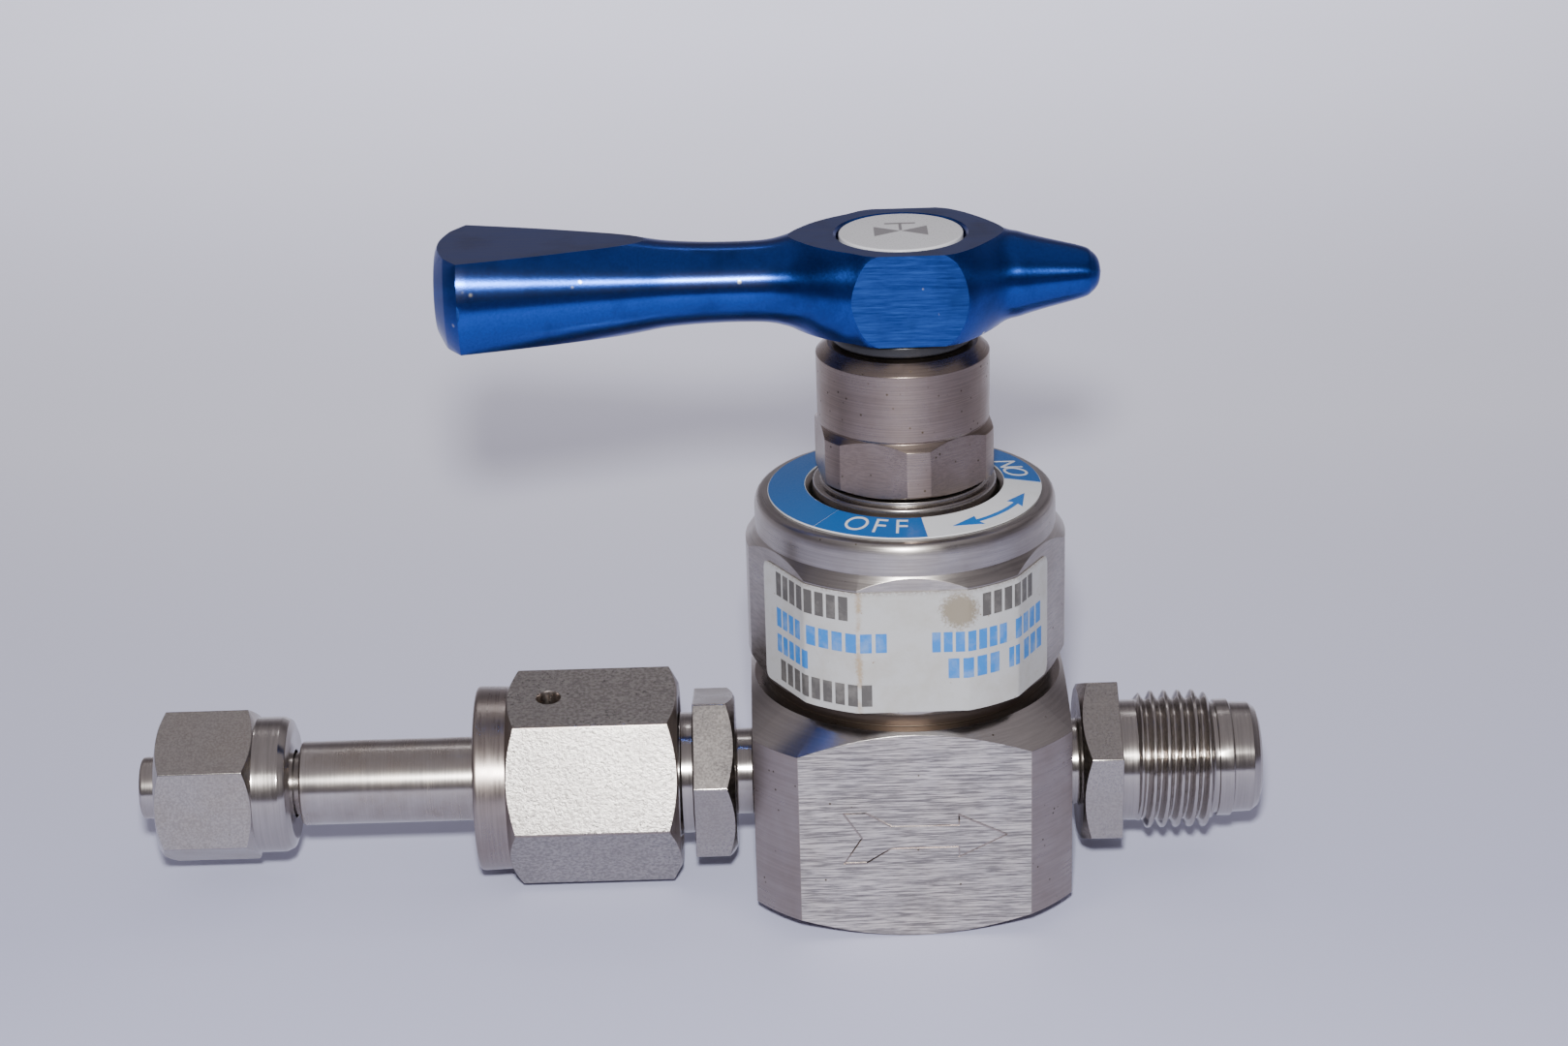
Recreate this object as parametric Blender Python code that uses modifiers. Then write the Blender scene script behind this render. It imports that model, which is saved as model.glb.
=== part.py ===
"""Quarter-turn, lever-operated diaphragm valve with face-seal gas fittings.

Frame: origin at the centre of the body's base, +X along the flow, +Z up the stem.
Drawing dimensions are in millimetres and are turned into metres as each mesh is made.
"""

import math

import bmesh
import bpy
from mathutils import Matrix

MM = 0.001
INCH = 25.4

# Facets round a full turn, by the size of the piece.
FACETS_LARGE = 48
FACETS_MEDIUM = 32
FACETS_SMALL = 24

# Clearances between pieces that touch on the real valve.
GAP = 0.3
THIN_GAP = 0.2

# Valve body: a round bar with four flats, a bonnet boss and a diaphragm bowl.
BODY_ACROSS_FLATS = 1.25 * INCH
BODY_FACE = BODY_ACROSS_FLATS / 2
BODY_CORNER_R = 19.6
BODY_BASE_R = 15.9
BODY_BASE_CHAMFER_Z = 2.1
BODY_SHOULDER_Z = 20.1
BODY_TOP_R = 15.5
BODY_TOP_Z = 22.4
BOSS_R = 14.3
BOSS_TOP_Z = 31.5
FLOW_Z = 11.1
BORE_R = 2.3
RISER_R = 1.6
OUTLET_RISER_X = 5.6
OUTLET_BORE_END_X = 4.0
SPIGOT_R = 3.0
SPIGOT_DEPTH = 2.3
SEAT_POCKET_R = 3.4
SEAT_POCKET_Z = 25.4
BOWL_R = 8.0
BOWL_Z = 27.6
RIM_RECESS_R = 11.4
RIM_RECESS_Z = 29.2
MOUNT_HOLE_R = 2.05
MOUNT_HOLE_DEPTH = 6.4
MOUNT_HOLE_OFFSET = 7.3

# Diaphragm stack.
SEAT_R = 3.1
SEAT_TOP_Z = 28.3
DIAPHRAGM_R = 11.1
DIAPHRAGM_Z = 29.5
DIAPHRAGM_THICKNESS = 0.4
DIAPHRAGM_RISE = 1.0
DOME_R = 8.3
BUTTON_R = 4.0
BUTTON_BOTTOM_Z = 31.2
BUTTON_TOP_Z = 37.8
BUTTON_SCREW_R = 2.6

# Bonnet and bonnet nut.
BONNET_BOTTOM_Z = 30.2
BONNET_FLANGE_R = 13.9
BONNET_FLANGE_Z = 31.8
BONNET_SHOULDER_Z = 34.2
BONNET_NECK_R = 9.2
BONNET_NECK_TOP_Z = 43.4
BONNET_LIP_R = 8.4
BONNET_LIP_Z = 43.6
BONNET_SPIGOT_R = 6.3
BONNET_TOP_Z = 48.5
NUT_R = 16.0
NUT_ACROSS_FLATS = 30.16
NUT_BOTTOM_Z = 23.8
NUT_TOP_Z = 42.45
NUT_FACE_Z = 41.9
NUT_HEX_TOP_Z = 37.3
NUT_COLLAR_R = 15.05
NUT_FACE_R = 13.65
NUT_HOLE_R = 0.375 * INCH
NUT_CREST_R = NUT_HOLE_R + 0.4
NUT_SHOULDER_Z = 34.5

# Dial ring and serial label.
DIAL_INNER_R = 10.2
DIAL_THICKNESS = 0.2
LABEL_START_ANGLE = math.radians(-68)
LABEL_END_ANGLE = math.radians(64)
LABEL_STEPS = 44
LABEL_BOTTOM_Z = 24.4
LABEL_TOP_Z = 37.1
LABEL_THICKNESS = 0.15

# Stem housing, stem and the pieces round it.
HOUSING_HEX_Z = 43.9
HOUSING_SHOULDER_Z = 49.4
HOUSING_ACROSS_FLATS = 16.8
HOUSING_CORNER_R = 9.1
HOUSING_R = 8.55
HOUSING_BEVEL_Z = 56.6
HOUSING_TOP_R = 7.37
HOUSING_TOP_Z = 57.6
HOUSING_CHAMBER_R = 6.6
HOUSING_CHAMBER_Z = 51.9
HOUSING_BUSH_BORE_R = 4.9
HOUSING_HEX_TURN = math.radians(-82)
STEM_R = 3.3
STEM_BORE_R = 3.6
STEM_SCREW_R = 2.3
STEM_BOTTOM_Z = 33.6
STEM_SHAFT_Z = 38.7
STEM_FLANGE_R = 6.2
STEM_FLANGE_Z = 48.8
STEM_FLANGE_THICKNESS = 1.7
STEM_SHOULDER_Z = 58.8
STEM_TOP_Z = 62.6
STEM_SQUARE = 4.6
BUSH_R = 4.6
WASHER_R = 7.0
WASHER_Z = 57.9
WASHER_THICKNESS = 1.2
STOP_PIN_R = 0.7
STOP_PIN_CIRCLE_R = 5.0
STOP_PIN_BOTTOM_Z = 46.6
STOP_PIN_TOP_Z = 50.3
STOP_PIN_ANGLE = math.radians(30)
STOP_SLOT_MARGIN = math.radians(12)
QUARTER_TURN = math.pi / 2

# Handle: a bar turned about its own length, with flats above, below and beside the hub.
HANDLE_Z = 63.95
HANDLE_HALF_HEIGHT = 4.55
HUB_HALF_WIDTH = 7.9
HANDLE_PROFILE = [
    (19.4, 0.0),
    (19.2, 0.9),
    (18.6, 1.6),
    (17.6, 2.2),
    (13.7, 3.35),
    (11.6, 4.1),
    (9.45, 4.85),
    (6.05, 7.9),
    (3.9, 9.1),
    (0.3, 9.55),
    (-3.2, 8.95),
    (-5.0, 7.9),
    (-6.7, 7.2),
    (-8.3, 6.2),
    (-10.0, 5.0),
    (-11.4, 4.4),
    (-13.6, 3.95),
    (-22.5, 3.95),
    (-25.7, 4.4),
    (-30.7, 5.3),
    (-36.2, 6.5),
    (-42.6, 7.85),
    (-44.2, 6.1),
    (-45.1, 4.0),
    (-45.2, 0.0),
]
SOCKET_SQUARE = 5.2
SOCKET_TOP_Z = 62.9
SCREW_HEAD_R = 3.0
SCREW_HEAD_Z = 64.9
SCREW_HEAD_HEIGHT = 1.6
SCREW_R = 1.25
SCREW_BOTTOM_Z = 59.6
SCREW_HOLE_R = 1.6
COUNTERBORE_R = 3.4
COUNTERBORE_Z = 64.6
CAP_RECESS_R = 6.3
CAP_RECESS_Z = 67.1
CAP_R = 6.05
CAP_BOTTOM_Z = 67.4
CAP_TOP_Z = 68.55

# Male face-seal unions, one on each side of the body. Heights run outward from the stem's axis.
UNION_START = BODY_FACE + GAP
UNION_NECK_R = 4.4
UNION_ACROSS_FLATS = 0.625 * INCH
UNION_BEAD_R = 5.6
UNION_RELIEF_R = 6.2
THREAD_CREST_R = 9 / 16 * INCH / 2 - 0.1
THREAD_PITCH = INCH / 18
THREAD_TURNS = 5
THREAD_END = 30.9
UNION_LENGTH = 36.0
OUTLET_HEX = (17.4, 21.4)
INLET_HEX = (17.75, 22.0)
OUTLET_HEX_TURN = math.radians(56)
INLET_HEX_TURN = math.radians(44.5)

# Face gasket, reducing gland and coupling nut, heights outward from the stem's axis.
GASKET_R = 6.3
GASKET_BORE_R = 2.6
GASKET_START = 36.3
GLAND_START = 37.3
GLAND_HEAD_R = 6.9
GLAND_HEAD_END = 40.2
GLAND_R = 4.3
GLAND_SHOULDER = 62.4
STUB_R = 0.25 * INCH / 2
STUB_END = 78.9
COUPLING_START = 23.5
COUPLING_HEX_END = 40.9
COUPLING_END = 44.2
COUPLING_ACROSS_FLATS = 0.75 * INCH
COUPLING_COLLAR_R = 9.5
COUPLING_THREAD_R = 7.35
COUPLING_FLOOR = 40.5
COUPLING_HOLE_R = 4.6
COUPLING_HEX_TURN = math.radians(23)
LEAK_HOLE_R = 1.18
LEAK_HOLE_AT = 36.6
LEAK_HOLE_ANGLE = math.radians(83)

# Tube nut and ferrules on the gland's stub.
TUBE_NUT_START = 63.1
TUBE_NUT_COLLAR_R = 6.95
TUBE_NUT_HEX_START = 66.8
TUBE_NUT_END = 76.7
TUBE_NUT_ACROSS_FLATS = 9 / 16 * INCH
TUBE_NUT_THREAD_R = 5.4
TUBE_NUT_FLOOR = 66.5
TUBE_NUT_HEX_TURN = math.radians(4.75)
FERRULE_BORE_R = STUB_R + THIN_GAP
FERRULE_R = 4.9


# ---------------------------------------------------------------- scene and materials


def clear_scene():
    for obj in list(bpy.data.objects):
        bpy.data.objects.remove(obj, do_unlink=True)
    for collection in list(bpy.data.collections):
        bpy.data.collections.remove(collection)


def new_collection(name, render):
    collection = bpy.data.collections.new(name)
    collection.hide_render = not render
    bpy.context.scene.collection.children.link(collection)
    return collection


def make_material(name, colour, roughness, metallic):
    material = bpy.data.materials.new(name)
    material.use_nodes = True
    shader = material.node_tree.nodes["Principled BSDF"]
    shader.inputs["Base Color"].default_value = (*colour, 1.0)
    shader.inputs["Roughness"].default_value = roughness
    shader.inputs["Metallic"].default_value = metallic
    return material


# ---------------------------------------------------------------- modelling helpers


def place(obj, material=None, parent=None):
    """Puts a part in the valve's collection, or a cutter (no material) with the cutters."""
    if material is None:
        CUTTERS.objects.link(obj)
        obj.hide_render = True
        obj.display_type = "WIRE"
        return obj
    PARTS.objects.link(obj)
    obj.data.materials.append(material)
    if parent is not None:
        obj.parent = parent
        obj.matrix_parent_inverse = parent.matrix_world.inverted()
    return obj


def outward(side):
    """Rotation that turns a profile's height axis to -X (the inlet) or +X (the outlet)."""
    return (0.0, side * math.pi / 2, 0.0)


INLET = -1
OUTLET = 1


def turned(name, profile, facets, material=None, parent=None, side=0, at=(0.0, 0.0, 0.0)):
    """A solid of revolution from (height, radius) points, from the top of its outer side down.

    A profile whose ends lie on the axis is left open, and any other is closed into a ring.
    side 0 stands it along +Z, and INLET or OUTLET lays it along -X or +X.
    """
    mesh = bpy.data.meshes.new(name)
    points = [(radius * MM, 0.0, height * MM) for height, radius in profile]
    edges = [(i, i + 1) for i in range(len(points) - 1)]
    if profile[0][1] > 0:
        edges.append((len(points) - 1, 0))
    mesh.from_pydata(points, edges, [])
    obj = bpy.data.objects.new(name, mesh)
    obj.location = [value * MM for value in at]
    if side:
        obj.rotation_euler = outward(side)
    screw = obj.modifiers.new("Turn", "SCREW")
    screw.steps = facets
    screw.render_steps = facets
    screw.use_merge_vertices = True
    screw.merge_threshold = 0.00001
    return place(obj, material, parent)


def ring(name, low, high, inner, outer, facets, material=None, parent=None, side=0):
    """A plain washer or bush between two heights."""
    profile = [(high, inner), (high, outer), (low, outer), (low, inner)]
    return turned(name, profile, facets, material, parent, side)


def drill(name, low, high, radius, facets=FACETS_SMALL, side=0, at=(0.0, 0.0, 0.0)):
    """A plain cylinder cutter between two heights."""
    profile = [(high, 0.0), (high, radius), (low, radius), (low, 0.0)]
    return turned(name, profile, facets, side=side, at=at)


def box(name, low, high):
    """A box cutter from its lowest to its highest corner."""
    mesh = bpy.data.meshes.new(name)
    shape = bmesh.new()
    bmesh.ops.create_cube(shape, size=1.0)
    for vertex in shape.verts:
        for axis in range(3):
            share = vertex.co[axis] + 0.5
            vertex.co[axis] = (low[axis] + share * (high[axis] - low[axis])) * MM
    shape.to_mesh(mesh)
    shape.free()
    return place(bpy.data.objects.new(name, mesh))


def hex_prism(name, across_flats, low, high, turn, side=0):
    """A six-sided cutter whose first flat faces the angle turn about its own axis."""
    mesh = bpy.data.meshes.new(name)
    shape = bmesh.new()
    corner = across_flats / 2 / math.cos(math.pi / 6) * MM
    middle = Matrix.Translation((0.0, 0.0, (low + high) / 2 * MM))
    bmesh.ops.create_cone(
        shape,
        cap_ends=True,
        segments=6,
        radius1=corner,
        radius2=corner,
        depth=(high - low) * MM,
        matrix=middle @ Matrix.Rotation(turn, 4, "Z"),
    )
    shape.to_mesh(mesh)
    shape.free()
    obj = bpy.data.objects.new(name, mesh)
    if side:
        obj.rotation_euler = outward(side)
    return place(obj)


def combine(obj, operation, *others):
    """Adds one exact Boolean modifier for each other shape."""
    for other in others:
        modifier = obj.modifiers.new(other.name, "BOOLEAN")
        modifier.operation = operation
        modifier.solver = "EXACT"
        modifier.object = other
    return obj


def cut(obj, *cutters):
    return combine(obj, "DIFFERENCE", *cutters)


def keep_inside(obj, *cutters):
    return combine(obj, "INTERSECT", *cutters)


def hex_angle_about_x(elevation, side):
    """Turns an elevation above -Y (the front) into an angle about a laid profile's own axis.

    A laid profile's local X points down for the outlet and up for the inlet, and its local Y
    stays along +Y.
    """
    across = -math.cos(elevation)
    along = -side * math.sin(elevation)
    return math.atan2(across, along)


def hinge_empty(name, at):
    empty = bpy.data.objects.new(name, None)
    empty.location = [value * MM for value in at]
    PARTS.objects.link(empty)
    bpy.context.view_layer.update()
    return empty


# ---------------------------------------------------------------- body and internals


def make_body():
    body = turned(
        "valve_body",
        [
            (SEAT_POCKET_Z, 0.0),
            (SEAT_POCKET_Z, SEAT_POCKET_R),
            (BOWL_Z, SEAT_POCKET_R),
            (BOWL_Z, BOWL_R),
            (RIM_RECESS_Z, BOWL_R),
            (RIM_RECESS_Z, RIM_RECESS_R),
            (BOSS_TOP_Z, RIM_RECESS_R),
            (BOSS_TOP_Z, BOSS_R - 0.6),
            (BOSS_TOP_Z - 0.6, BOSS_R),
            (BODY_TOP_Z, BOSS_R),
            (BODY_TOP_Z, BODY_TOP_R),
            (BODY_SHOULDER_Z, BODY_CORNER_R),
            (BODY_BASE_CHAMFER_Z, BODY_CORNER_R),
            (0.0, BODY_BASE_R),
            (0.0, 0.0),
        ],
        FACETS_LARGE,
        STEEL,
    )
    keep_inside(
        body,
        box("body_flats", (-BODY_FACE, -BODY_FACE, -5.0), (BODY_FACE, BODY_FACE, 40.0)),
    )
    flow = (0.0, 0.0, FLOW_Z)
    socket_r = SPIGOT_R + GAP
    socket_bottom = BODY_FACE - SPIGOT_DEPTH - GAP
    inlet = turned(
        "inlet_drill",
        [
            (BODY_FACE + 1, 0.0),
            (BODY_FACE + 1, socket_r),
            (socket_bottom, socket_r),
            (socket_bottom, BORE_R),
            (-RISER_R, BORE_R),
            (-RISER_R, 0.0),
        ],
        FACETS_SMALL,
        side=INLET,
        at=flow,
    )
    outlet = turned(
        "outlet_drill",
        [
            (BODY_FACE + 1, 0.0),
            (BODY_FACE + 1, socket_r),
            (socket_bottom, socket_r),
            (socket_bottom, BORE_R),
            (OUTLET_BORE_END_X, BORE_R),
            (OUTLET_BORE_END_X, 0.0),
        ],
        FACETS_SMALL,
        side=OUTLET,
        at=flow,
    )
    inlet_riser = drill("inlet_riser", FLOW_Z, SEAT_POCKET_Z + 1, RISER_R)
    outlet_riser = drill(
        "outlet_riser", FLOW_Z, BOWL_Z + 1, RISER_R, at=(OUTLET_RISER_X, 0.0, 0.0)
    )
    cut(body, inlet, outlet, inlet_riser, outlet_riser)
    for number, sign in enumerate((-1, 1), 1):
        at = (sign * MOUNT_HOLE_OFFSET, sign * MOUNT_HOLE_OFFSET, 0.0)
        cut(body, drill(f"mount_hole_{number}", -1.0, MOUNT_HOLE_DEPTH, MOUNT_HOLE_R, at=at))


def make_seat():
    top, bottom = SEAT_TOP_Z, SEAT_POCKET_Z + GAP
    profile = [
        (top - 0.3, RISER_R + 0.3),
        (top, RISER_R + 0.6),
        (top - 0.3, SEAT_R - 0.4),
        (top - 0.8, SEAT_R),
        (bottom, SEAT_R),
        (bottom, RISER_R + 0.3),
    ]
    turned("seat_insert", profile, FACETS_SMALL, SEAT_PLASTIC)


def dome_height(radius):
    """Height of the diaphragm's underside above its rim at a radius."""
    share = min(radius / DOME_R, 1.0)
    return DIAPHRAGM_RISE * (1 - share**2) ** 2


def make_diaphragm():
    radii = [DOME_R * i / 5 for i in range(6)] + [DIAPHRAGM_R]
    under = [(DIAPHRAGM_Z + dome_height(r), r) for r in reversed(radii)]
    over = [(DIAPHRAGM_Z + DIAPHRAGM_THICKNESS + dome_height(r), r) for r in radii]
    turned("diaphragm", over + under, FACETS_SMALL, ALLOY)


def make_button():
    profile = [
        (BUTTON_TOP_Z - 4.5, 0.0),
        (BUTTON_TOP_Z - 4.5, BUTTON_SCREW_R),
        (BUTTON_TOP_Z, BUTTON_SCREW_R),
        (BUTTON_TOP_Z, BUTTON_R),
        (BUTTON_BOTTOM_Z + 0.8, BUTTON_R),
        (BUTTON_BOTTOM_Z + 0.2, BUTTON_R - 1.2),
        (BUTTON_BOTTOM_Z, 1.2),
        (BUTTON_BOTTOM_Z, 0.0),
    ]
    turned("actuator_button", profile, FACETS_SMALL, BRONZE)


def make_bonnet():
    guide_r = BUTTON_R + GAP
    bonnet = turned(
        "bonnet",
        [
            (BONNET_TOP_Z, STEM_BORE_R),
            (BONNET_TOP_Z, BONNET_SPIGOT_R),
            (BONNET_LIP_Z, BONNET_SPIGOT_R),
            (BONNET_LIP_Z, BONNET_LIP_R),
            (BONNET_NECK_TOP_Z, BONNET_LIP_R),
            (BONNET_NECK_TOP_Z, BONNET_NECK_R - 0.2),
            (BONNET_NECK_TOP_Z - 0.2, BONNET_NECK_R),
            (BONNET_SHOULDER_Z, BONNET_NECK_R),
            (BONNET_SHOULDER_Z, BONNET_FLANGE_R),
            (BONNET_FLANGE_Z, BONNET_FLANGE_R),
            (BONNET_FLANGE_Z, DIAPHRAGM_R),
            (BONNET_BOTTOM_Z, DIAPHRAGM_R),
            (BONNET_BOTTOM_Z, DOME_R),
            (BONNET_BOTTOM_Z + 1.4, guide_r),
            (STEM_SHAFT_Z, guide_r),
            (STEM_SHAFT_Z, STEM_BORE_R),
        ],
        FACETS_SMALL,
        STEEL,
    )
    pin_at = (
        STOP_PIN_CIRCLE_R * math.cos(STOP_PIN_ANGLE),
        STOP_PIN_CIRCLE_R * math.sin(STOP_PIN_ANGLE),
        0.0,
    )
    hole_bottom = STOP_PIN_BOTTOM_Z - GAP
    hole_r = STOP_PIN_R + THIN_GAP
    cut(bonnet, drill("stop_pin_hole", hole_bottom, BONNET_TOP_Z + 1, hole_r, at=pin_at))
    pin = [
        (STOP_PIN_TOP_Z, 0.0),
        (STOP_PIN_TOP_Z, STOP_PIN_R),
        (STOP_PIN_BOTTOM_Z, STOP_PIN_R),
        (STOP_PIN_BOTTOM_Z, 0.0),
    ]
    turned("stop_pin", pin, 12, HARD_STEEL, at=pin_at)


def make_bonnet_nut():
    thread_r = BOSS_R + GAP
    nut = turned(
        "bonnet_nut",
        [
            (NUT_TOP_Z - 0.4, NUT_HOLE_R),
            (NUT_TOP_Z, NUT_CREST_R),
            (NUT_FACE_Z, NUT_FACE_R),
            (NUT_FACE_Z - 0.5, NUT_COLLAR_R - 0.45),
            (NUT_FACE_Z - 1.6, NUT_COLLAR_R),
            (NUT_HEX_TOP_Z + 1.2, NUT_COLLAR_R),
            (NUT_HEX_TOP_Z, NUT_R),
            (NUT_BOTTOM_Z + 1.8, NUT_R),
            (NUT_BOTTOM_Z + 0.2, NUT_COLLAR_R + 0.05),
            (NUT_BOTTOM_Z, NUT_COLLAR_R - 0.15),
            (NUT_BOTTOM_Z, thread_r),
            (NUT_SHOULDER_Z, thread_r),
            (NUT_SHOULDER_Z, NUT_HOLE_R),
        ],
        FACETS_LARGE,
        STEEL,
    )
    flats = hex_prism(
        "bonnet_nut_flats", NUT_ACROSS_FLATS, NUT_BOTTOM_Z - 2, NUT_TOP_Z + 2, -QUARTER_TURN
    )
    keep_inside(nut, flats)


def nut_radius(angle):
    """Radius of the bonnet nut's section at an angle from its front flat's normal."""
    from_flat = (angle + math.pi / 6) % (math.pi / 3) - math.pi / 6
    return min(NUT_R, NUT_ACROSS_FLATS / 2 / math.cos(from_flat))


def dial_height(radius):
    """Height of the dial's underside, which follows the bonnet nut's shallow cone."""
    share = (radius - NUT_CREST_R) / (NUT_FACE_R - NUT_CREST_R)
    return NUT_TOP_Z + (NUT_FACE_Z - NUT_TOP_Z) * share + THIN_GAP


def make_labels():
    inner, outer = dial_height(DIAL_INNER_R), dial_height(NUT_FACE_R)
    dial = [
        (inner + DIAL_THICKNESS, DIAL_INNER_R),
        (outer + DIAL_THICKNESS, NUT_FACE_R),
        (outer, NUT_FACE_R),
        (inner, DIAL_INNER_R),
    ]
    turned("dial_ring", dial, FACETS_LARGE, PAPER)
    mesh = bpy.data.meshes.new("serial_label")
    shape = bmesh.new()
    columns = []
    sweep = LABEL_END_ANGLE - LABEL_START_ANGLE
    for step in range(LABEL_STEPS + 1):
        angle = LABEL_START_ANGLE + sweep * step / LABEL_STEPS
        radius = (nut_radius(angle) + THIN_GAP) * MM
        x, y = radius * math.sin(angle), -radius * math.cos(angle)
        columns.append(
            [shape.verts.new((x, y, z * MM)) for z in (LABEL_BOTTOM_Z, LABEL_TOP_Z)]
        )
    for left, right in zip(columns, columns[1:]):
        shape.faces.new((left[0], right[0], right[1], left[1]))
    shape.to_mesh(mesh)
    shape.free()
    label = bpy.data.objects.new("serial_label", mesh)
    wall = label.modifiers.new("Thickness", "SOLIDIFY")
    wall.thickness = LABEL_THICKNESS * MM
    wall.offset = 1.0
    place(label, PAPER)


# ---------------------------------------------------------------- stem, housing and handle


def make_housing():
    housing = turned(
        "stem_housing",
        [
            (HOUSING_TOP_Z, HOUSING_BUSH_BORE_R),
            (HOUSING_TOP_Z, HOUSING_TOP_R),
            (HOUSING_BEVEL_Z, HOUSING_R),
            (HOUSING_SHOULDER_Z, HOUSING_R),
            (HOUSING_SHOULDER_Z, HOUSING_CORNER_R - 0.4),
            (HOUSING_SHOULDER_Z - 0.4, HOUSING_CORNER_R),
            (HOUSING_HEX_Z + 0.5, HOUSING_CORNER_R),
            (HOUSING_HEX_Z, HOUSING_CORNER_R - 0.5),
            (HOUSING_HEX_Z, HOUSING_CHAMBER_R),
            (HOUSING_CHAMBER_Z, HOUSING_CHAMBER_R),
            (HOUSING_CHAMBER_Z, HOUSING_BUSH_BORE_R),
        ],
        FACETS_MEDIUM,
        STEEL,
    )
    lower = hex_prism(
        "housing_hex",
        HOUSING_ACROSS_FLATS,
        HOUSING_HEX_Z - 2,
        HOUSING_SHOULDER_Z,
        HOUSING_HEX_TURN + math.pi / 6,
    )
    upper = drill("housing_round", HOUSING_SHOULDER_Z - 1, HOUSING_TOP_Z + 2, HOUSING_R + 1)
    combine(lower, "UNION", upper)
    keep_inside(housing, lower)
    bush_low = HOUSING_CHAMBER_Z + GAP
    bush_high = HOUSING_TOP_Z - GAP
    ring("stem_bushing", bush_low, bush_high, STEM_BORE_R, BUSH_R, FACETS_SMALL, BRONZE)
    washer_high = HOUSING_CHAMBER_Z - GAP
    washer_low = STEM_FLANGE_Z + STEM_FLANGE_THICKNESS + GAP
    ring(
        "thrust_washer",
        washer_low,
        washer_high,
        STEM_BORE_R,
        STEM_FLANGE_R,
        FACETS_SMALL,
        HARD_STEEL,
    )
    ring(
        "handle_washer",
        WASHER_Z,
        WASHER_Z + WASHER_THICKNESS,
        STEM_BORE_R,
        WASHER_R,
        FACETS_MEDIUM,
        BLACK_PLASTIC,
    )


def stop_slot():
    """A sector cutter for the stem flange: the stop pin runs from one end of it to the other."""
    start = STOP_PIN_ANGLE - STOP_SLOT_MARGIN
    sweep = QUARTER_TURN + 2 * STOP_SLOT_MARGIN
    steps = 10
    inner = STEM_R + 0.4
    outer = STEM_FLANGE_R + 1
    curve = bpy.data.curves.new("stop_slot_outline", "CURVE")
    curve.dimensions = "2D"
    curve.fill_mode = "BOTH"
    curve.extrude = (STEM_FLANGE_THICKNESS / 2 + 0.2) * MM
    spline = curve.splines.new("POLY")
    angles = [start + sweep * i / steps for i in range(steps + 1)]
    corners = [(outer, a) for a in angles] + [(inner, a) for a in reversed(angles)]
    spline.points.add(len(corners) - 1)
    for point, (radius, angle) in zip(spline.points, corners):
        point.co = (radius * math.cos(angle) * MM, radius * math.sin(angle) * MM, 0.0, 1.0)
    spline.use_cyclic_u = True
    outline = bpy.data.objects.new("stop_slot_outline", curve)
    CUTTERS.objects.link(outline)
    bpy.context.view_layer.update()
    graph = bpy.context.evaluated_depsgraph_get()
    mesh = bpy.data.meshes.new_from_object(outline.evaluated_get(graph))
    bpy.data.objects.remove(outline, do_unlink=True)
    shape = bmesh.new()
    shape.from_mesh(mesh)
    bmesh.ops.remove_doubles(shape, verts=shape.verts, dist=0.000001)
    shape.to_mesh(mesh)
    shape.free()
    slot = bpy.data.objects.new("stop_slot", mesh)
    slot.location = (0.0, 0.0, (STEM_FLANGE_Z + STEM_FLANGE_THICKNESS / 2) * MM)
    return place(slot)


def make_stem(handle_axis):
    flange_top = STEM_FLANGE_Z + STEM_FLANGE_THICKNESS
    stem = turned(
        "stem",
        [
            (STEM_SHOULDER_Z, 0.0),
            (STEM_SHOULDER_Z, STEM_R),
            (flange_top, STEM_R),
            (flange_top, STEM_FLANGE_R),
            (STEM_FLANGE_Z, STEM_FLANGE_R),
            (STEM_FLANGE_Z, STEM_R),
            (STEM_SHAFT_Z + 0.3, STEM_R),
            (STEM_SHAFT_Z + 0.3, STEM_SCREW_R),
            (STEM_BOTTOM_Z, STEM_SCREW_R),
            (STEM_BOTTOM_Z, 0.0),
        ],
        FACETS_SMALL,
        HARD_STEEL,
        handle_axis,
    )
    half = STEM_SQUARE / 2
    square = box("stem_square", (-half, -half, STEM_SHOULDER_Z - 1), (half, half, STEM_TOP_Z))
    combine(stem, "UNION", square)
    tapped = drill("stem_tapped_hole", SCREW_BOTTOM_Z - 0.6, STEM_TOP_Z + 1, SCREW_R + GAP, 16)
    cut(stem, tapped, stop_slot())


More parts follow.
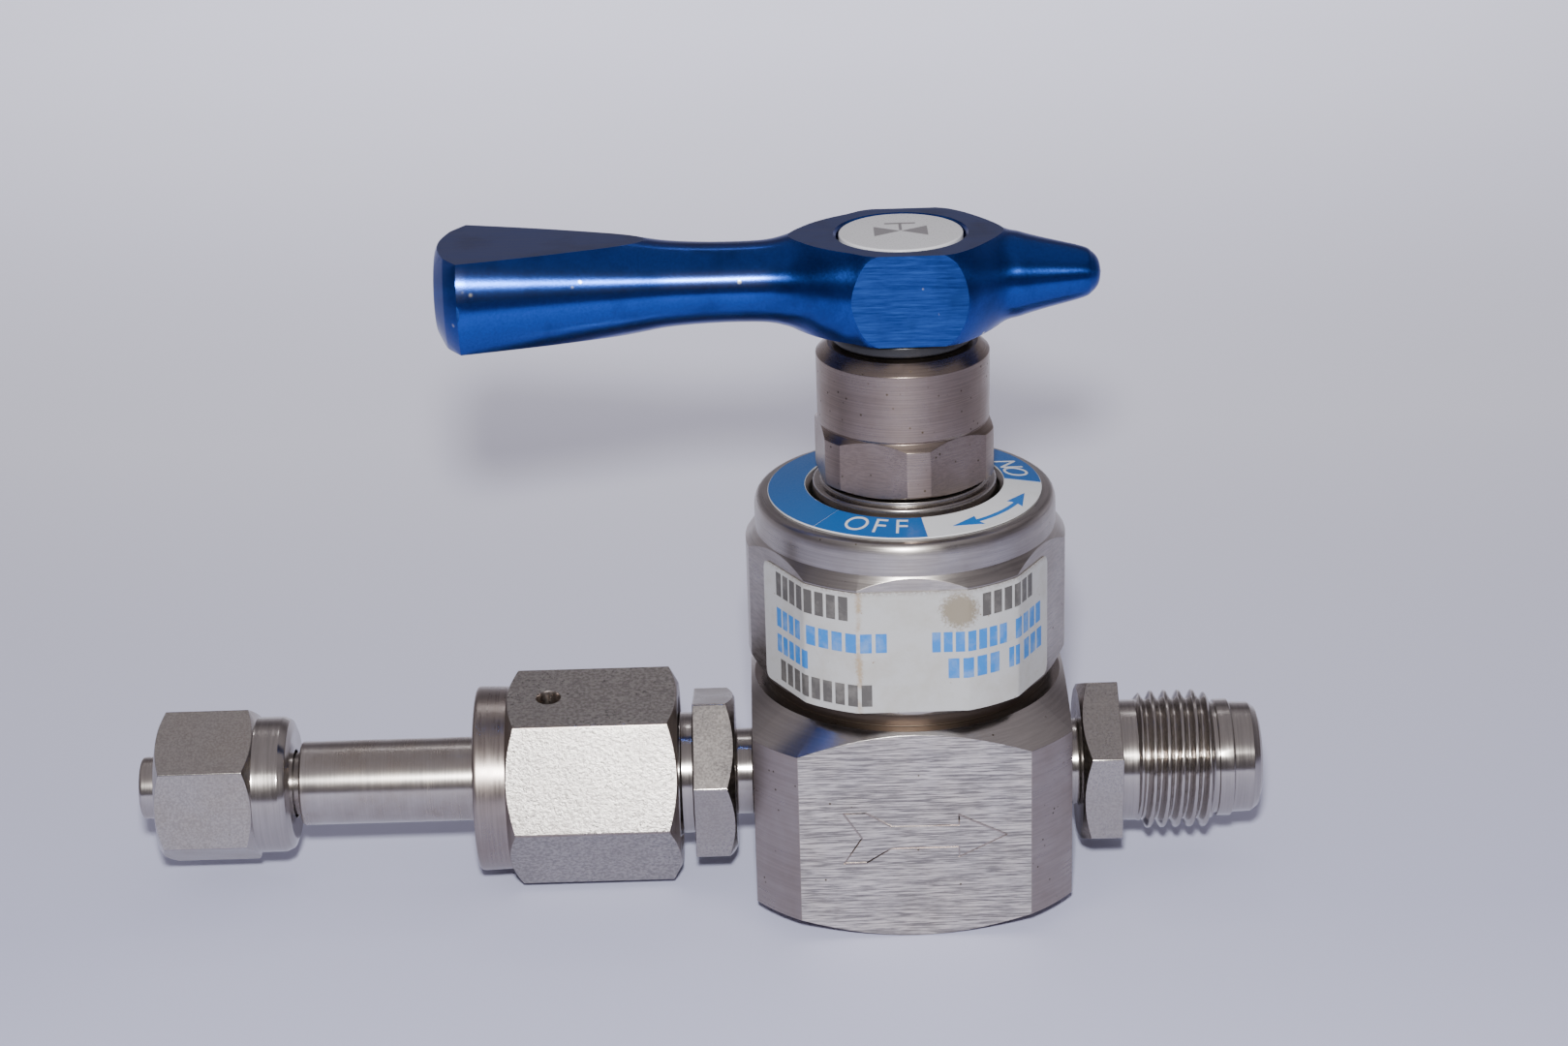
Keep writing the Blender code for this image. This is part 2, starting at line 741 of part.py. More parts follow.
def make_handle(handle_axis):
    handle = turned(
        "handle",
        HANDLE_PROFILE,
        FACETS_MEDIUM,
        BLUE_ANODISE,
        handle_axis,
        OUTLET,
        (0.0, 0.0, HANDLE_Z),
    )
    flats = box(
        "handle_flats",
        (-60.0, -HUB_HALF_WIDTH, HANDLE_Z - HANDLE_HALF_HEIGHT),
        (40.0, HUB_HALF_WIDTH, HANDLE_Z + HANDLE_HALF_HEIGHT),
    )
    keep_inside(handle, flats)
    half = SOCKET_SQUARE / 2
    bottom = HANDLE_Z - HANDLE_HALF_HEIGHT
    socket = box("handle_socket", (-half, -half, bottom - 1), (half, half, SOCKET_TOP_Z))
    top = HANDLE_Z + HANDLE_HALF_HEIGHT
    pocket = turned(
        "handle_pocket",
        [
            (top + 1, 0.0),
            (top + 1, CAP_RECESS_R),
            (CAP_RECESS_Z, CAP_RECESS_R),
            (CAP_RECESS_Z, COUNTERBORE_R),
            (COUNTERBORE_Z, COUNTERBORE_R),
            (COUNTERBORE_Z, SCREW_HOLE_R),
            (SOCKET_TOP_Z - 1, SCREW_HOLE_R),
            (SOCKET_TOP_Z - 1, 0.0),
        ],
        FACETS_MEDIUM,
    )
    cut(handle, socket, pocket)
    screw = [
        (SCREW_HEAD_Z + SCREW_HEAD_HEIGHT, 0.0),
        (SCREW_HEAD_Z + SCREW_HEAD_HEIGHT, SCREW_HEAD_R - 0.4),
        (SCREW_HEAD_Z + SCREW_HEAD_HEIGHT - 0.4, SCREW_HEAD_R),
        (SCREW_HEAD_Z, SCREW_HEAD_R),
        (SCREW_HEAD_Z, SCREW_R),
        (SCREW_BOTTOM_Z, SCREW_R),
        (SCREW_BOTTOM_Z, 0.0),
    ]
    turned("handle_screw", screw, 16, HARD_STEEL, handle_axis)
    cap = [
        (CAP_TOP_Z, 0.0),
        (CAP_TOP_Z, CAP_R - 0.15),
        (CAP_TOP_Z - 0.15, CAP_R),
        (CAP_BOTTOM_Z, CAP_R),
        (CAP_BOTTOM_Z, 0.0),
    ]
    turned("handle_cap", cap, FACETS_MEDIUM, WHITE_PLASTIC, handle_axis)


# ---------------------------------------------------------------- fittings


def thread_ridges():
    """(height, radius) points of the thread's ridges, from its outer end inwards."""
    points = [(THREAD_END, UNION_RELIEF_R)]
    for turn in range(THREAD_TURNS):
        crest = THREAD_END - (turn + 0.5) * THREAD_PITCH
        points.append((crest, THREAD_CREST_R))
        points.append((crest - THREAD_PITCH / 2, UNION_RELIEF_R))
    return points


def make_union(name, side, hex_span, elevation):
    hex_start, hex_end = hex_span
    corner = UNION_ACROSS_FLATS / 2 / math.cos(math.pi / 6)
    chamfer = 1.0
    profile = [
        (UNION_LENGTH - 0.4, BORE_R),
        (UNION_LENGTH, BORE_R + 0.5),
        (UNION_LENGTH, UNION_BEAD_R - 0.8),
        (UNION_LENGTH - 0.8, UNION_BEAD_R),
        (32.9, UNION_BEAD_R),
        (32.5, 6.0),
        *thread_ridges(),
        (hex_end, UNION_RELIEF_R),
        (hex_end, corner),
        (hex_start + chamfer, corner),
        (hex_start, corner - 2 * chamfer),
        (hex_start, UNION_NECK_R),
        (UNION_START, UNION_NECK_R),
        (UNION_START, SPIGOT_R),
        (BODY_FACE - SPIGOT_DEPTH, SPIGOT_R),
        (BODY_FACE - SPIGOT_DEPTH, BORE_R),
    ]
    flow = (0.0, 0.0, FLOW_Z)
    union = turned(name, profile, FACETS_MEDIUM, STEEL, side=side, at=flow)
    turn = hex_angle_about_x(elevation, side)
    flats = hex_prism(f"{name}_flats", UNION_ACROSS_FLATS, 10.0, UNION_LENGTH + 2, turn, side)
    flats.location = (0.0, 0.0, FLOW_Z * MM)
    keep_inside(union, flats)


def make_gasket():
    gasket = ring(
        "face_gasket",
        GASKET_START,
        GLAND_START - GAP,
        GASKET_BORE_R,
        GASKET_R,
        FACETS_SMALL,
        ALLOY,
        side=INLET,
    )
    gasket.location = (0.0, 0.0, FLOW_Z * MM)


def make_gland(gland_axis):
    profile = [
        (STUB_END, BORE_R),
        (STUB_END, STUB_R),
        (GLAND_SHOULDER, STUB_R),
        (GLAND_SHOULDER, GLAND_R),
        (GLAND_HEAD_END, GLAND_R),
        (GLAND_HEAD_END, GLAND_HEAD_R),
        (GLAND_START + 0.6, GLAND_HEAD_R),
        (GLAND_START, GLAND_HEAD_R - 1.0),
        (GLAND_START, BORE_R),
    ]
    flow = (0.0, 0.0, FLOW_Z)
    turned("inlet_gland", profile, FACETS_SMALL, STEEL, gland_axis, INLET, flow)
    back = [
        (68.6, FERRULE_BORE_R),
        (68.6, 4.0),
        (67.9, FERRULE_R - 0.1),
        (66.9, FERRULE_R - 0.1),
        (66.9, FERRULE_BORE_R),
    ]
    front = [
        (73.2, FERRULE_BORE_R),
        (73.2, 3.6),
        (69.9, FERRULE_R),
        (68.9, FERRULE_R),
        (68.9, FERRULE_BORE_R),
    ]
    turned("back_ferrule", back, FACETS_SMALL, STEEL, gland_axis, INLET, flow)
    turned("front_ferrule", front, FACETS_SMALL, STEEL, gland_axis, INLET, flow)


def make_coupling_nut(nut_axis):
    half = COUPLING_ACROSS_FLATS / 2
    corner = half / math.cos(math.pi / 6)
    chamfer = (corner - half) * math.tan(math.pi / 6)
    profile = [
        (COUPLING_END, COUPLING_HOLE_R),
        (COUPLING_END, COUPLING_COLLAR_R - 0.5),
        (COUPLING_END - 0.5, COUPLING_COLLAR_R),
        (COUPLING_HEX_END, COUPLING_COLLAR_R),
        (COUPLING_HEX_END - chamfer, corner),
        (COUPLING_START + chamfer, corner),
        (COUPLING_START, half),
        (COUPLING_START, COUPLING_THREAD_R + 0.6),
        (COUPLING_START + 0.6, COUPLING_THREAD_R),
        (COUPLING_FLOOR, COUPLING_THREAD_R),
        (COUPLING_FLOOR, COUPLING_HOLE_R),
    ]
    flow = (0.0, 0.0, FLOW_Z)
    nut = turned("coupling_nut", profile, FACETS_MEDIUM, STEEL, nut_axis, INLET, flow)
    turn = hex_angle_about_x(COUPLING_HEX_TURN, INLET)
    flats = hex_prism("coupling_flats", COUPLING_ACROSS_FLATS, 20.0, 50.0, turn, INLET)
    flats.location = (0.0, 0.0, FLOW_Z * MM)
    keep_inside(nut, flats)
    hole = drill("leak_hole", 5.0, 15.0, LEAK_HOLE_R, 16, at=(-LEAK_HOLE_AT, 0.0, FLOW_Z))
    hole.rotation_euler = (QUARTER_TURN - LEAK_HOLE_ANGLE, 0.0, 0.0)
    cut(nut, hole)


def make_tube_nut(swivel_axis):
    half = TUBE_NUT_ACROSS_FLATS / 2
    corner = half / math.cos(math.pi / 6)
    chamfer = (corner - half) * math.tan(math.pi / 6)
    profile = [
        (TUBE_NUT_END, TUBE_NUT_THREAD_R),
        (TUBE_NUT_END, half),
        (TUBE_NUT_END - chamfer, corner),
        (TUBE_NUT_HEX_START + chamfer, corner),
        (TUBE_NUT_HEX_START, TUBE_NUT_COLLAR_R),
        (TUBE_NUT_START + 1.4, TUBE_NUT_COLLAR_R),
        (TUBE_NUT_START + 0.5, TUBE_NUT_COLLAR_R - 0.4),
        (TUBE_NUT_START, TUBE_NUT_COLLAR_R - 1.4),
        (TUBE_NUT_START, STUB_R + GAP),
        (TUBE_NUT_FLOOR, STUB_R + GAP),
        (TUBE_NUT_FLOOR, TUBE_NUT_THREAD_R),
    ]
    flow = (0.0, 0.0, FLOW_Z)
    nut = turned("tube_nut", profile, FACETS_MEDIUM, STEEL, swivel_axis, INLET, flow)
    turn = hex_angle_about_x(TUBE_NUT_HEX_TURN, INLET)
    flats = hex_prism("tube_nut_flats", TUBE_NUT_ACROSS_FLATS, 60.0, 80.0, turn, INLET)
    flats.location = (0.0, 0.0, FLOW_Z * MM)
    keep_inside(nut, flats)


# ---------------------------------------------------------------- the valve

clear_scene()
PARTS = new_collection("diaphragm_valve", render=True)
CUTTERS = new_collection("cutters", render=False)

STEEL = make_material("stainless_steel", (0.62, 0.60, 0.57), 0.32, 1.0)
HARD_STEEL = make_material("hardened_steel", (0.42, 0.42, 0.43), 0.35, 1.0)
ALLOY = make_material("spring_alloy", (0.66, 0.64, 0.60), 0.25, 1.0)
BRONZE = make_material("bearing_bronze", (0.62, 0.42, 0.20), 0.40, 1.0)
BLUE_ANODISE = make_material("blue_anodise", (0.02, 0.09, 0.42), 0.30, 1.0)
BLACK_PLASTIC = make_material("black_plastic", (0.02, 0.02, 0.02), 0.55, 0.0)
WHITE_PLASTIC = make_material("white_plastic", (0.80, 0.80, 0.80), 0.40, 0.0)
SEAT_PLASTIC = make_material("seat_plastic", (0.86, 0.85, 0.80), 0.45, 0.0)
PAPER = make_material("label_film", (0.82, 0.82, 0.80), 0.50, 0.0)

HANDLE_AXIS = hinge_empty("handle_turn_axis", (0.0, 0.0, HANDLE_Z))
GLAND_AXIS = hinge_empty("gland_slide_axis", (-GLAND_START, 0.0, FLOW_Z))
COUPLING_AXIS = hinge_empty("coupling_turn_axis", (-COUPLING_START, 0.0, FLOW_Z))
SWIVEL_AXIS = hinge_empty("tube_nut_axis", (-TUBE_NUT_START, 0.0, FLOW_Z))

make_body()
make_seat()
make_diaphragm()
make_button()
make_bonnet()
make_bonnet_nut()
make_labels()
make_housing()
make_stem(HANDLE_AXIS)
make_handle(HANDLE_AXIS)
make_union("inlet_union", INLET, INLET_HEX, INLET_HEX_TURN)
make_union("outlet_union", OUTLET, OUTLET_HEX, OUTLET_HEX_TURN)
make_gasket()
make_gland(GLAND_AXIS)
make_coupling_nut(COUPLING_AXIS)
make_tube_nut(SWIVEL_AXIS)
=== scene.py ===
"""Looks of the quarter-turn diaphragm valve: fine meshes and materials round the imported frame.

Drawing lengths are millimetres, and points are turned into metres as each mesh is made.
A turned piece is drawn as (height, radius, corner rounding) points, height running along its axis.
"""

import math

import bmesh
import bpy
from mathutils import Matrix, Vector


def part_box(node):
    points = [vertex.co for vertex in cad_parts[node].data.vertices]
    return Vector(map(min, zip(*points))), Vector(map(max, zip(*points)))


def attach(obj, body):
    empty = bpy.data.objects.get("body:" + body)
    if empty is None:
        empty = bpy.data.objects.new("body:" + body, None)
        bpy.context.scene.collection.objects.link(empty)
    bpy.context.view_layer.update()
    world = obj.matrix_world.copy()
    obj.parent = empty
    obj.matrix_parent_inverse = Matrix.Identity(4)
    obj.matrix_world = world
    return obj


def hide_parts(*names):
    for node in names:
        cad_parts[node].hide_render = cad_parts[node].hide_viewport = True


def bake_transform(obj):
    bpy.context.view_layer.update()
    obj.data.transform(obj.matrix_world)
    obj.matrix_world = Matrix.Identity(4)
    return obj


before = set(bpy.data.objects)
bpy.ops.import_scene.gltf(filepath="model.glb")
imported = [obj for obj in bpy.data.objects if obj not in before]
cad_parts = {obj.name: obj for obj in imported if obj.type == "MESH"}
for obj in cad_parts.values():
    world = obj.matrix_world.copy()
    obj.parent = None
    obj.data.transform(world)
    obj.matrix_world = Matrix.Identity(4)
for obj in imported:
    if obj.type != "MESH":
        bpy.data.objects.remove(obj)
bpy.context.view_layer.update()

MM = 0.001
INCH = 25.4
X = Vector((1.0, 0.0, 0.0))
Y = Vector((0.0, 1.0, 0.0))
Z = Vector((0.0, 0.0, 1.0))
QUARTER = math.pi / 2

# Mesh fineness, then how near counts as touching.
ROUND_COLUMNS = 192
FLAT_STEPS = 14
ARC_STEPS = 12
CORNER_STEPS = 4
TINY = 1e-7
SAME_RADIUS = 1e-6
NEAR_FLAT = 1e-4
SHARP_ANGLE = math.radians(40)


def box_mm(node):
    """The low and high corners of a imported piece."""
    low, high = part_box(node)
    return low / MM, high / MM


# ---- places read from the frame

BODY_HIGH = box_mm("valve_body")[1]
UNION_HIGH = box_mm("outlet_union")[1]
GLAND_LOW, GLAND_HIGH = box_mm("inlet_gland")
COUPLING_LOW, COUPLING_HIGH = box_mm("coupling_nut")
TUBE_NUT_LOW, TUBE_NUT_HIGH = box_mm("tube_nut")
NUT_LOW, NUT_HIGH = box_mm("bonnet_nut")
HOUSING_LOW, HOUSING_HIGH = box_mm("stem_housing")
BONNET_HIGH = box_mm("bonnet")[1]
HANDLE_LOW, HANDLE_HIGH = box_mm("handle")
CAP_LOW, CAP_HIGH = box_mm("handle_cap")
LABEL_LOW, LABEL_HIGH = box_mm("serial_label")
WASHER_LOW, WASHER_HIGH = box_mm("handle_washer")

BODY_FACE = BODY_HIGH.x
FLOW_Z = (GLAND_LOW.z + GLAND_HIGH.z) / 2
HANDLE_Z = (HANDLE_LOW.z + HANDLE_HIGH.z) / 2


class Axis:
    """A turning axis with its zero angle and its ninety degree direction."""

    def __init__(self, origin, along, zero, ninety):
        self.origin = Vector(origin)
        self.along = along
        self.zero = zero
        self.ninety = ninety

    def point(self, height, radius, angle):
        spoke = self.zero * math.cos(angle) + self.ninety * math.sin(angle)
        return (self.origin + self.along * height + spoke * radius) * MM


STEM = Axis((0, 0, 0), Z, X, Y)
OUTLET = Axis((0, 0, FLOW_Z), X, -Y, Z)
INLET = Axis((0, 0, FLOW_Z), -X, -Y, Z)
LEVER = Axis((0, 0, HANDLE_Z), X, -Y, Z)


# ---- mesh helpers


def new_object(name, data):
    obj = bpy.data.objects.new(name, data)
    bpy.context.scene.collection.objects.link(obj)
    return obj


def object_from(name, shape):
    """A new object whose mesh is a finished shape, its faces turned outwards."""
    bmesh.ops.recalc_face_normals(shape, faces=shape.faces)
    mesh = bpy.data.meshes.new(name)
    shape.to_mesh(mesh)
    shape.free()
    return new_object(name, mesh)


def evaluated_mesh(obj):
    """An object's mesh as its modifiers leave it."""
    bpy.context.view_layer.update()
    graph = bpy.context.evaluated_depsgraph_get()
    return bpy.data.meshes.new_from_object(obj.evaluated_get(graph))


def fillet(points, closed, steps=CORNER_STEPS):
    """Rounds each (a, b, radius) corner. Every rounded corner gives steps + 1 points."""
    count = len(points)
    out = []
    for i, (a, b, radius) in enumerate(points):
        here = Vector((a, b))
        if radius <= 0:
            out.append(here)
            continue
        back = Vector(points[i - 1][:2]) - here
        ahead = Vector(points[(i + 1) % count][:2]) - here
        if not closed and i in (0, count - 1) or min(back.length, ahead.length) < TINY:
            out.extend([here] * (steps + 1))
            continue
        half = max(back.angle(ahead) / 2, 0.02)
        reach = radius / math.tan(half)
        start = here + back.normalized() * min(reach, back.length * 0.48)
        end = here + ahead.normalized() * min(reach, ahead.length * 0.48)
        for step in range(steps + 1):
            t = step / steps
            out.append(start * (1 - t) ** 2 + here * 2 * t * (1 - t) + end * t**2)
    return out


def spline(points, steps):
    """A Catmull-Rom curve through 2D points."""
    knots = [Vector(p) for p in points]
    knots = [knots[0] * 2 - knots[1], *knots, knots[-1] * 2 - knots[-2]]
    out = []
    for a, b, c, d in zip(knots, knots[1:], knots[2:], knots[3:]):
        for step in range(steps):
            t = step / steps
            bend = (a * 2 - b * 5 + c * 4 - d) * t**2
            twist = (b * 3 - a - c * 3 + d) * t**3
            out.append((b * 2 + (c - a) * t + bend + twist) / 2)
    return [*out, knots[-2]]


def round_section(columns):
    """(angle, radius limit, on a flat) for each column of a plain round piece."""
    return [(2 * math.pi * i / columns, math.inf, False) for i in range(columns)]


def flats_section(count, across_flats, corner_r, turn, edge=0.22):
    """The same for a bar with flats. Its corners are arcs of corner_r where that is given."""
    half = across_flats / 2
    sharp = half / math.cos(math.pi / count)
    has_arcs = corner_r is not None and corner_r < sharp
    spread = math.acos(half / corner_r) if has_arcs else math.pi / count
    width = half * math.tan(spread)
    raw = []
    turns = [turn + 2 * math.pi * number / count for number in range(count)]
    for normal in turns:
        last = FLAT_STEPS + 1 if has_arcs else FLAT_STEPS
        for step in range(last):
            across = width * (2 * step / FLAT_STEPS - 1)
            a = half * math.cos(normal) - across * math.sin(normal)
            b = half * math.sin(normal) + across * math.cos(normal)
            raw.append((a, b, edge if step in (0, FLAT_STEPS) else 0))
        if has_arcs:
            sweep = 2 * math.pi / count - 2 * spread
            for step in range(1, ARC_STEPS):
                angle = normal + spread + sweep * step / ARC_STEPS
                raw.append((corner_r * math.cos(angle), corner_r * math.sin(angle), 0))
    points = fillet(raw, closed=True)
    columns = []
    normals = [Vector((math.cos(normal), math.sin(normal))) for normal in turns]
    for i, point in enumerate(points):
        middle = (point + points[(i + 1) % len(points)]) / 2
        on_flat = min(abs(middle.dot(normal) - half) for normal in normals)
        columns.append((math.atan2(point.y, point.x), point.length, on_flat < NEAR_FLAT))
    return columns


def finish_mesh(obj, body, materials):
    """Shading, materials and body of a new piece."""
    for material in materials:
        obj.data.materials.append(material)
    obj.data.shade_smooth()
    weighted = obj.modifiers.new("Even normals", "WEIGHTED_NORMAL")
    weighted.keep_sharp = True
    obj.data.set_sharp_from_angle(angle=SHARP_ANGLE)
    if isinstance(body, str):
        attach(obj, body)
    else:
        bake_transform(obj)
    return obj


def swept(name, axis, section, profile, flat_index=1):
    """A closed mesh from columns of a profile. profile(limit, angle) gives its (height, radius)s.

    Faces that lie on a flat of the section take the material slot flat_index.
    """
    shape = bmesh.new()
    columns = []
    for angle, limit, on_flat in section:
        points = profile(limit, angle)
        verts = [shape.verts.new(axis.point(h, r, angle)) for h, r in points]
        columns.append((verts, [abs(r - limit) < SAME_RADIUS for h, r in points], on_flat))
    for i, (verts, at_limit, on_flat) in enumerate(columns):
        others = columns[(i + 1) % len(columns)][0]
        rows = len(verts)
        for row in range(rows):
            after = (row + 1) % rows
            face = shape.faces.new((verts[row], others[row], others[after], verts[after]))
            if on_flat and at_limit[row] and at_limit[after]:
                face.material_index = flat_index
    bmesh.ops.remove_doubles(shape, verts=shape.verts, dist=TINY)
    bmesh.ops.dissolve_degenerate(shape, edges=shape.edges, dist=TINY)
    return object_from(name, shape)


def turned(name, axis, points, columns=ROUND_COLUMNS):
    """A plain turned piece from closed (height, radius, rounding) points."""
    rounded = fillet(points, closed=True)
    return swept(name, axis, round_section(columns), lambda limit, angle: rounded)


def box_cutter(low, high):
    """A block to cut with, between two corners."""
    shape = bmesh.new()
    bmesh.ops.create_cube(shape, size=1.0)
    size = Vector(high) - Vector(low)
    for vertex in shape.verts:
        for i in range(3):
            vertex.co[i] = (low[i] + (vertex.co[i] + 0.5) * size[i]) * MM
    return object_from("cutter", shape)


def drill_cutter(axis, points, columns=48):
    """A turned tool to cut with, from sharp (height, radius) points."""
    return turned("cutter", axis, [(h, r, 0) for h, r in points], columns)


def carve(obj, cutters, operation="DIFFERENCE"):
    """Cuts obj with each cutter, keeps the result as plain mesh, and removes the cutters."""
    for cutter in cutters:
        modifier = obj.modifiers.new("Carve", "BOOLEAN")
        modifier.operation = operation
        modifier.solver = "EXACT"
        modifier.object = cutter
    mesh = evaluated_mesh(obj)
    obj.modifiers.clear()
    obj.data = mesh
    for cutter in cutters:
        bpy.data.objects.remove(cutter, do_unlink=True)


def chamfer_at(limit, low, high):
    """Height at which a chamfer from low to high, both (height, radius), meets a radius."""
    share = (limit - low[1]) / (high[1] - low[1])
    share = min(max(share, 0.01), 1.0)
    return low[0] + (high[0] - low[0]) * share


# ---- materials


class Graph:
    """A short way to build the nodes of a material or a world."""

    def __init__(self, name, world=None):
        self.owner = world or bpy.data.materials.new(name)
        self.owner.use_nodes = True
        self.tree = self.owner.node_tree
        self.shader = self.tree.nodes["Background" if world else "Principled BSDF"]

    def node(self, kind, inputs=(), **settings):
        node = self.tree.nodes.new(kind)
        for key, value in settings.items():
            setattr(node, key, value)
        for key, value in dict(inputs).items():
            self.feed(node.inputs[key], value)
        return node

    def feed(self, socket, value):
        """Links or sets an input. A colour is given as three numbers."""
        if isinstance(value, bpy.types.NodeSocket):
            self.tree.links.new(value, socket)
        else:
            socket.default_value = (*value, 1.0) if socket.type == "RGBA" else value

    def set(self, **values):
        """Feeds the shader. An underscore stands for a space in an input's name."""
        for key, value in values.items():
            self.feed(self.shader.inputs[key.replace("_", " ")], value)

    def millimetres(self, origin=(0.0, 0.0, 0.0), stretch=(1.0, 1.0, 1.0)):
        """Object coordinates in millimetres from an origin, stretched along each axis."""
        place = self.node("ShaderNodeTexCoord").outputs["Object"]
        offset = [-o * s for o, s in zip(origin, stretch)]
        scale = [s / MM for s in stretch]
        inputs = {"Vector": place, "Location": offset, "Scale": scale}
        return self.node("ShaderNodeMapping", inputs).outputs["Vector"]

    def rings(self, origin, along, fine):
        """Coordinates for turning marks round an axis: radius and height, hardly any angle."""
        place = self.millimetres(origin)
        parts = self.node("ShaderNodeSeparateXYZ", {"Vector": place}).outputs
        others = [parts[name] for name in "XYZ" if name != along]
        flat = self.node("ShaderNodeCombineXYZ", {"X": others[0], "Y": others[1]})
        spoke = self.node("ShaderNodeVectorMath", {0: flat.outputs[0]}, operation="LENGTH")
        across = self.math("MULTIPLY", spoke.outputs["Value"], fine)
        up = self.math("MULTIPLY", parts[along], fine)
        turn = self.math("MULTIPLY", self.math("ADD", others[0], others[1]), 0.12)
        return self.node("ShaderNodeCombineXYZ", {"X": across, "Y": up, "Z": turn}).outputs[0]

    def math(self, operation, a, b=0.0):
        return self.node("ShaderNodeMath", {0: a, 1: b}, operation=operation).outputs[0]

    def noise(self, vector, scale=1.0, detail=3.0, roughness=0.55):
        inputs = {"Vector": vector, "Scale": scale, "Detail": detail, "Roughness": roughness}
        return self.node("ShaderNodeTexNoise", inputs).outputs[0]

    def remap(self, value, low, high, to_low=0.0, to_high=1.0, blend="LINEAR"):
        inputs = {0: value, 1: low, 2: high, 3: to_low, 4: to_high}
        return self.node("ShaderNodeMapRange", inputs, interpolation_type=blend).outputs[0]

    def mix(self, share, a, b):
        """Colours a and b mixed by share."""
        node = self.node("ShaderNodeMix", data_type="RGBA")
        self.feed(node.inputs[0], share)
        self.feed(node.inputs[6], a)
        self.feed(node.inputs[7], b)
        return node.outputs[2]

    def turned_on(self, axis, amount):
        """Stretches highlights across the turning marks left round an axis."""
        tangent = self.node("ShaderNodeTangent", direction_type="RADIAL", axis=axis)
        self.set(Anisotropic=amount, Anisotropic_Rotation=0.25, Tangent=tangent.outputs[0])

    def bump(self, *layers):
        """Stacks bump layers of (height, depth in millimetres) and feeds the shader."""
        normal = None
        for height, depth in layers:
            inputs = {"Height": height, "Distance": depth * MM, "Strength": 1.0}
            if normal is not None:
                inputs["Normal"] = normal
            normal = self.node("ShaderNodeBump", inputs).outputs[0]
        self.set(Normal=normal)


def tint(colour, factor):
    """A colour made darker or lighter."""
    return tuple(c * factor for c in colour)


STEEL = (0.425, 0.395, 0.37)
WARM_STEEL = (0.335, 0.29, 0.265)
BROWN_STAIN = (0.66, 0.58, 0.5)
DARK_STEEL = (0.32, 0.3, 0.28)
GRIME = (0.1, 0.075, 0.05)
BARE_METAL = (0.7, 0.7, 0.68)
FILM_WHITE = (0.42, 0.42, 0.415)
FILM_YELLOW = (0.29, 0.255, 0.19)
FILM_CREASE = (0.3, 0.21, 0.11)
FILM_WORN = (0.2, 0.165, 0.11)
FILM_SPECK = (0.22, 0.16, 0.1)
FILM_EDGE = (0.12, 0.08, 0.05)
# Floor colours near the camera and at the back, and the depths between: painted light falloff across the
# card.
FLOOR_NEAR_PAINTED_SHADE = (0.56, 0.575, 0.77)
FLOOR_FAR_PAINTED_LIGHT = (0.86, 0.865, 0.99)
FLOOR_CLOUD = (0.45, 0.45, 0.52)
CREASE_X = -5.2
WORN_PLACE = (4.6, -15.3, 35.0)
FLOOR_PAINTED_LIGHT_DEPTHS = (-10.0, 130.0)


def specks(graph, place, scale, amount):
    """A mask of small dark pits."""
    inputs = {"Vector": place, "Scale": scale, "Randomness": 1.0}
    spots = graph.node("ShaderNodeTexVoronoi", inputs).outputs["Distance"]
    patch = graph.noise(place, scale * 0.35, 2.0)
    near = graph.remap(spots, 0.06, 0.14, 1.0, 0.0)
    return graph.math("MULTIPLY", near, graph.remap(patch, 0.62 - amount, 0.66 - amount))


def steel(
    name, marks, colour, roughness, streak, grain=0.0012, pits=0.0, stain=0.25, marks_depth=0.0015,
    marks_glint_contrast=0.08, spin=None, stretch=0.5,
):
    """Stainless steel. marks(graph) gives the coordinates that its machining marks follow.

    The mark contrast is how much darker and brighter the marks are painted: the dark marks are machining
    marks, the bright ones painted sparkle highlight. spin is the axis the piece was turned on,
    and stretch is how far its highlights reach across the marks.
    """
    graph = Graph(name)
    place = graph.millimetres()
    lines = graph.noise(marks(graph), 1.0, 4.0, 0.65)
    fine = graph.noise(place, 7.0, 2.0, 0.6)
    cloud = graph.noise(place, 0.22, 4.0, 0.6)
    tone = graph.remap(cloud, 0.38, 0.72)
    stained = [c * s for c, s in zip(colour, BROWN_STAIN)]
    colours = graph.mix(graph.math("MULTIPLY", tone, stain), colour, stained)
    # Real machining marks, their bright end a painted sparkle highlight in the colour.
    marks_and_glint = graph.remap(lines, 0.42, 0.6, 1.0 - 0.5 * marks_glint_contrast, 1.0 + marks_glint_contrast)
    inputs = {0: colours, "Scale": marks_and_glint}
    colours = graph.node("ShaderNodeVectorMath", inputs, operation="SCALE").outputs[0]
    rough = graph.remap(lines, 0.25, 0.75, roughness - streak / 2, roughness + streak)
    rough = graph.math("ADD", rough, graph.math("MULTIPLY", tone, 0.08))
    if pits:
        dots = specks(graph, place, 0.95, pits)
        colours = graph.mix(dots, colours, GRIME)
        rough = graph.math("ADD", rough, graph.math("MULTIPLY", dots, 0.3))
    graph.set(Base_Color=colours, Metallic=1.0, Roughness=rough)
    if spin:
        graph.turned_on(spin, stretch)
    graph.bump((lines, marks_depth), (fine, grain))
    return graph.owner


def marks_along(x, y, z):
    """Straight marks: how closely they follow one another along each axis."""
    return lambda graph: graph.millimetres(stretch=(x, y, z))


def even_grain(scale):
    return marks_along(scale, scale, scale)


def stem_rings(fine):
    """Turning marks round the stem."""
    return lambda graph: graph.rings((0.0, 0.0, 0.0), "Z", fine)


def flow_rings(fine):
    """Turning marks round the line of flow."""
    return lambda graph: graph.rings((0.0, 0.0, FLOW_Z), "X", fine)


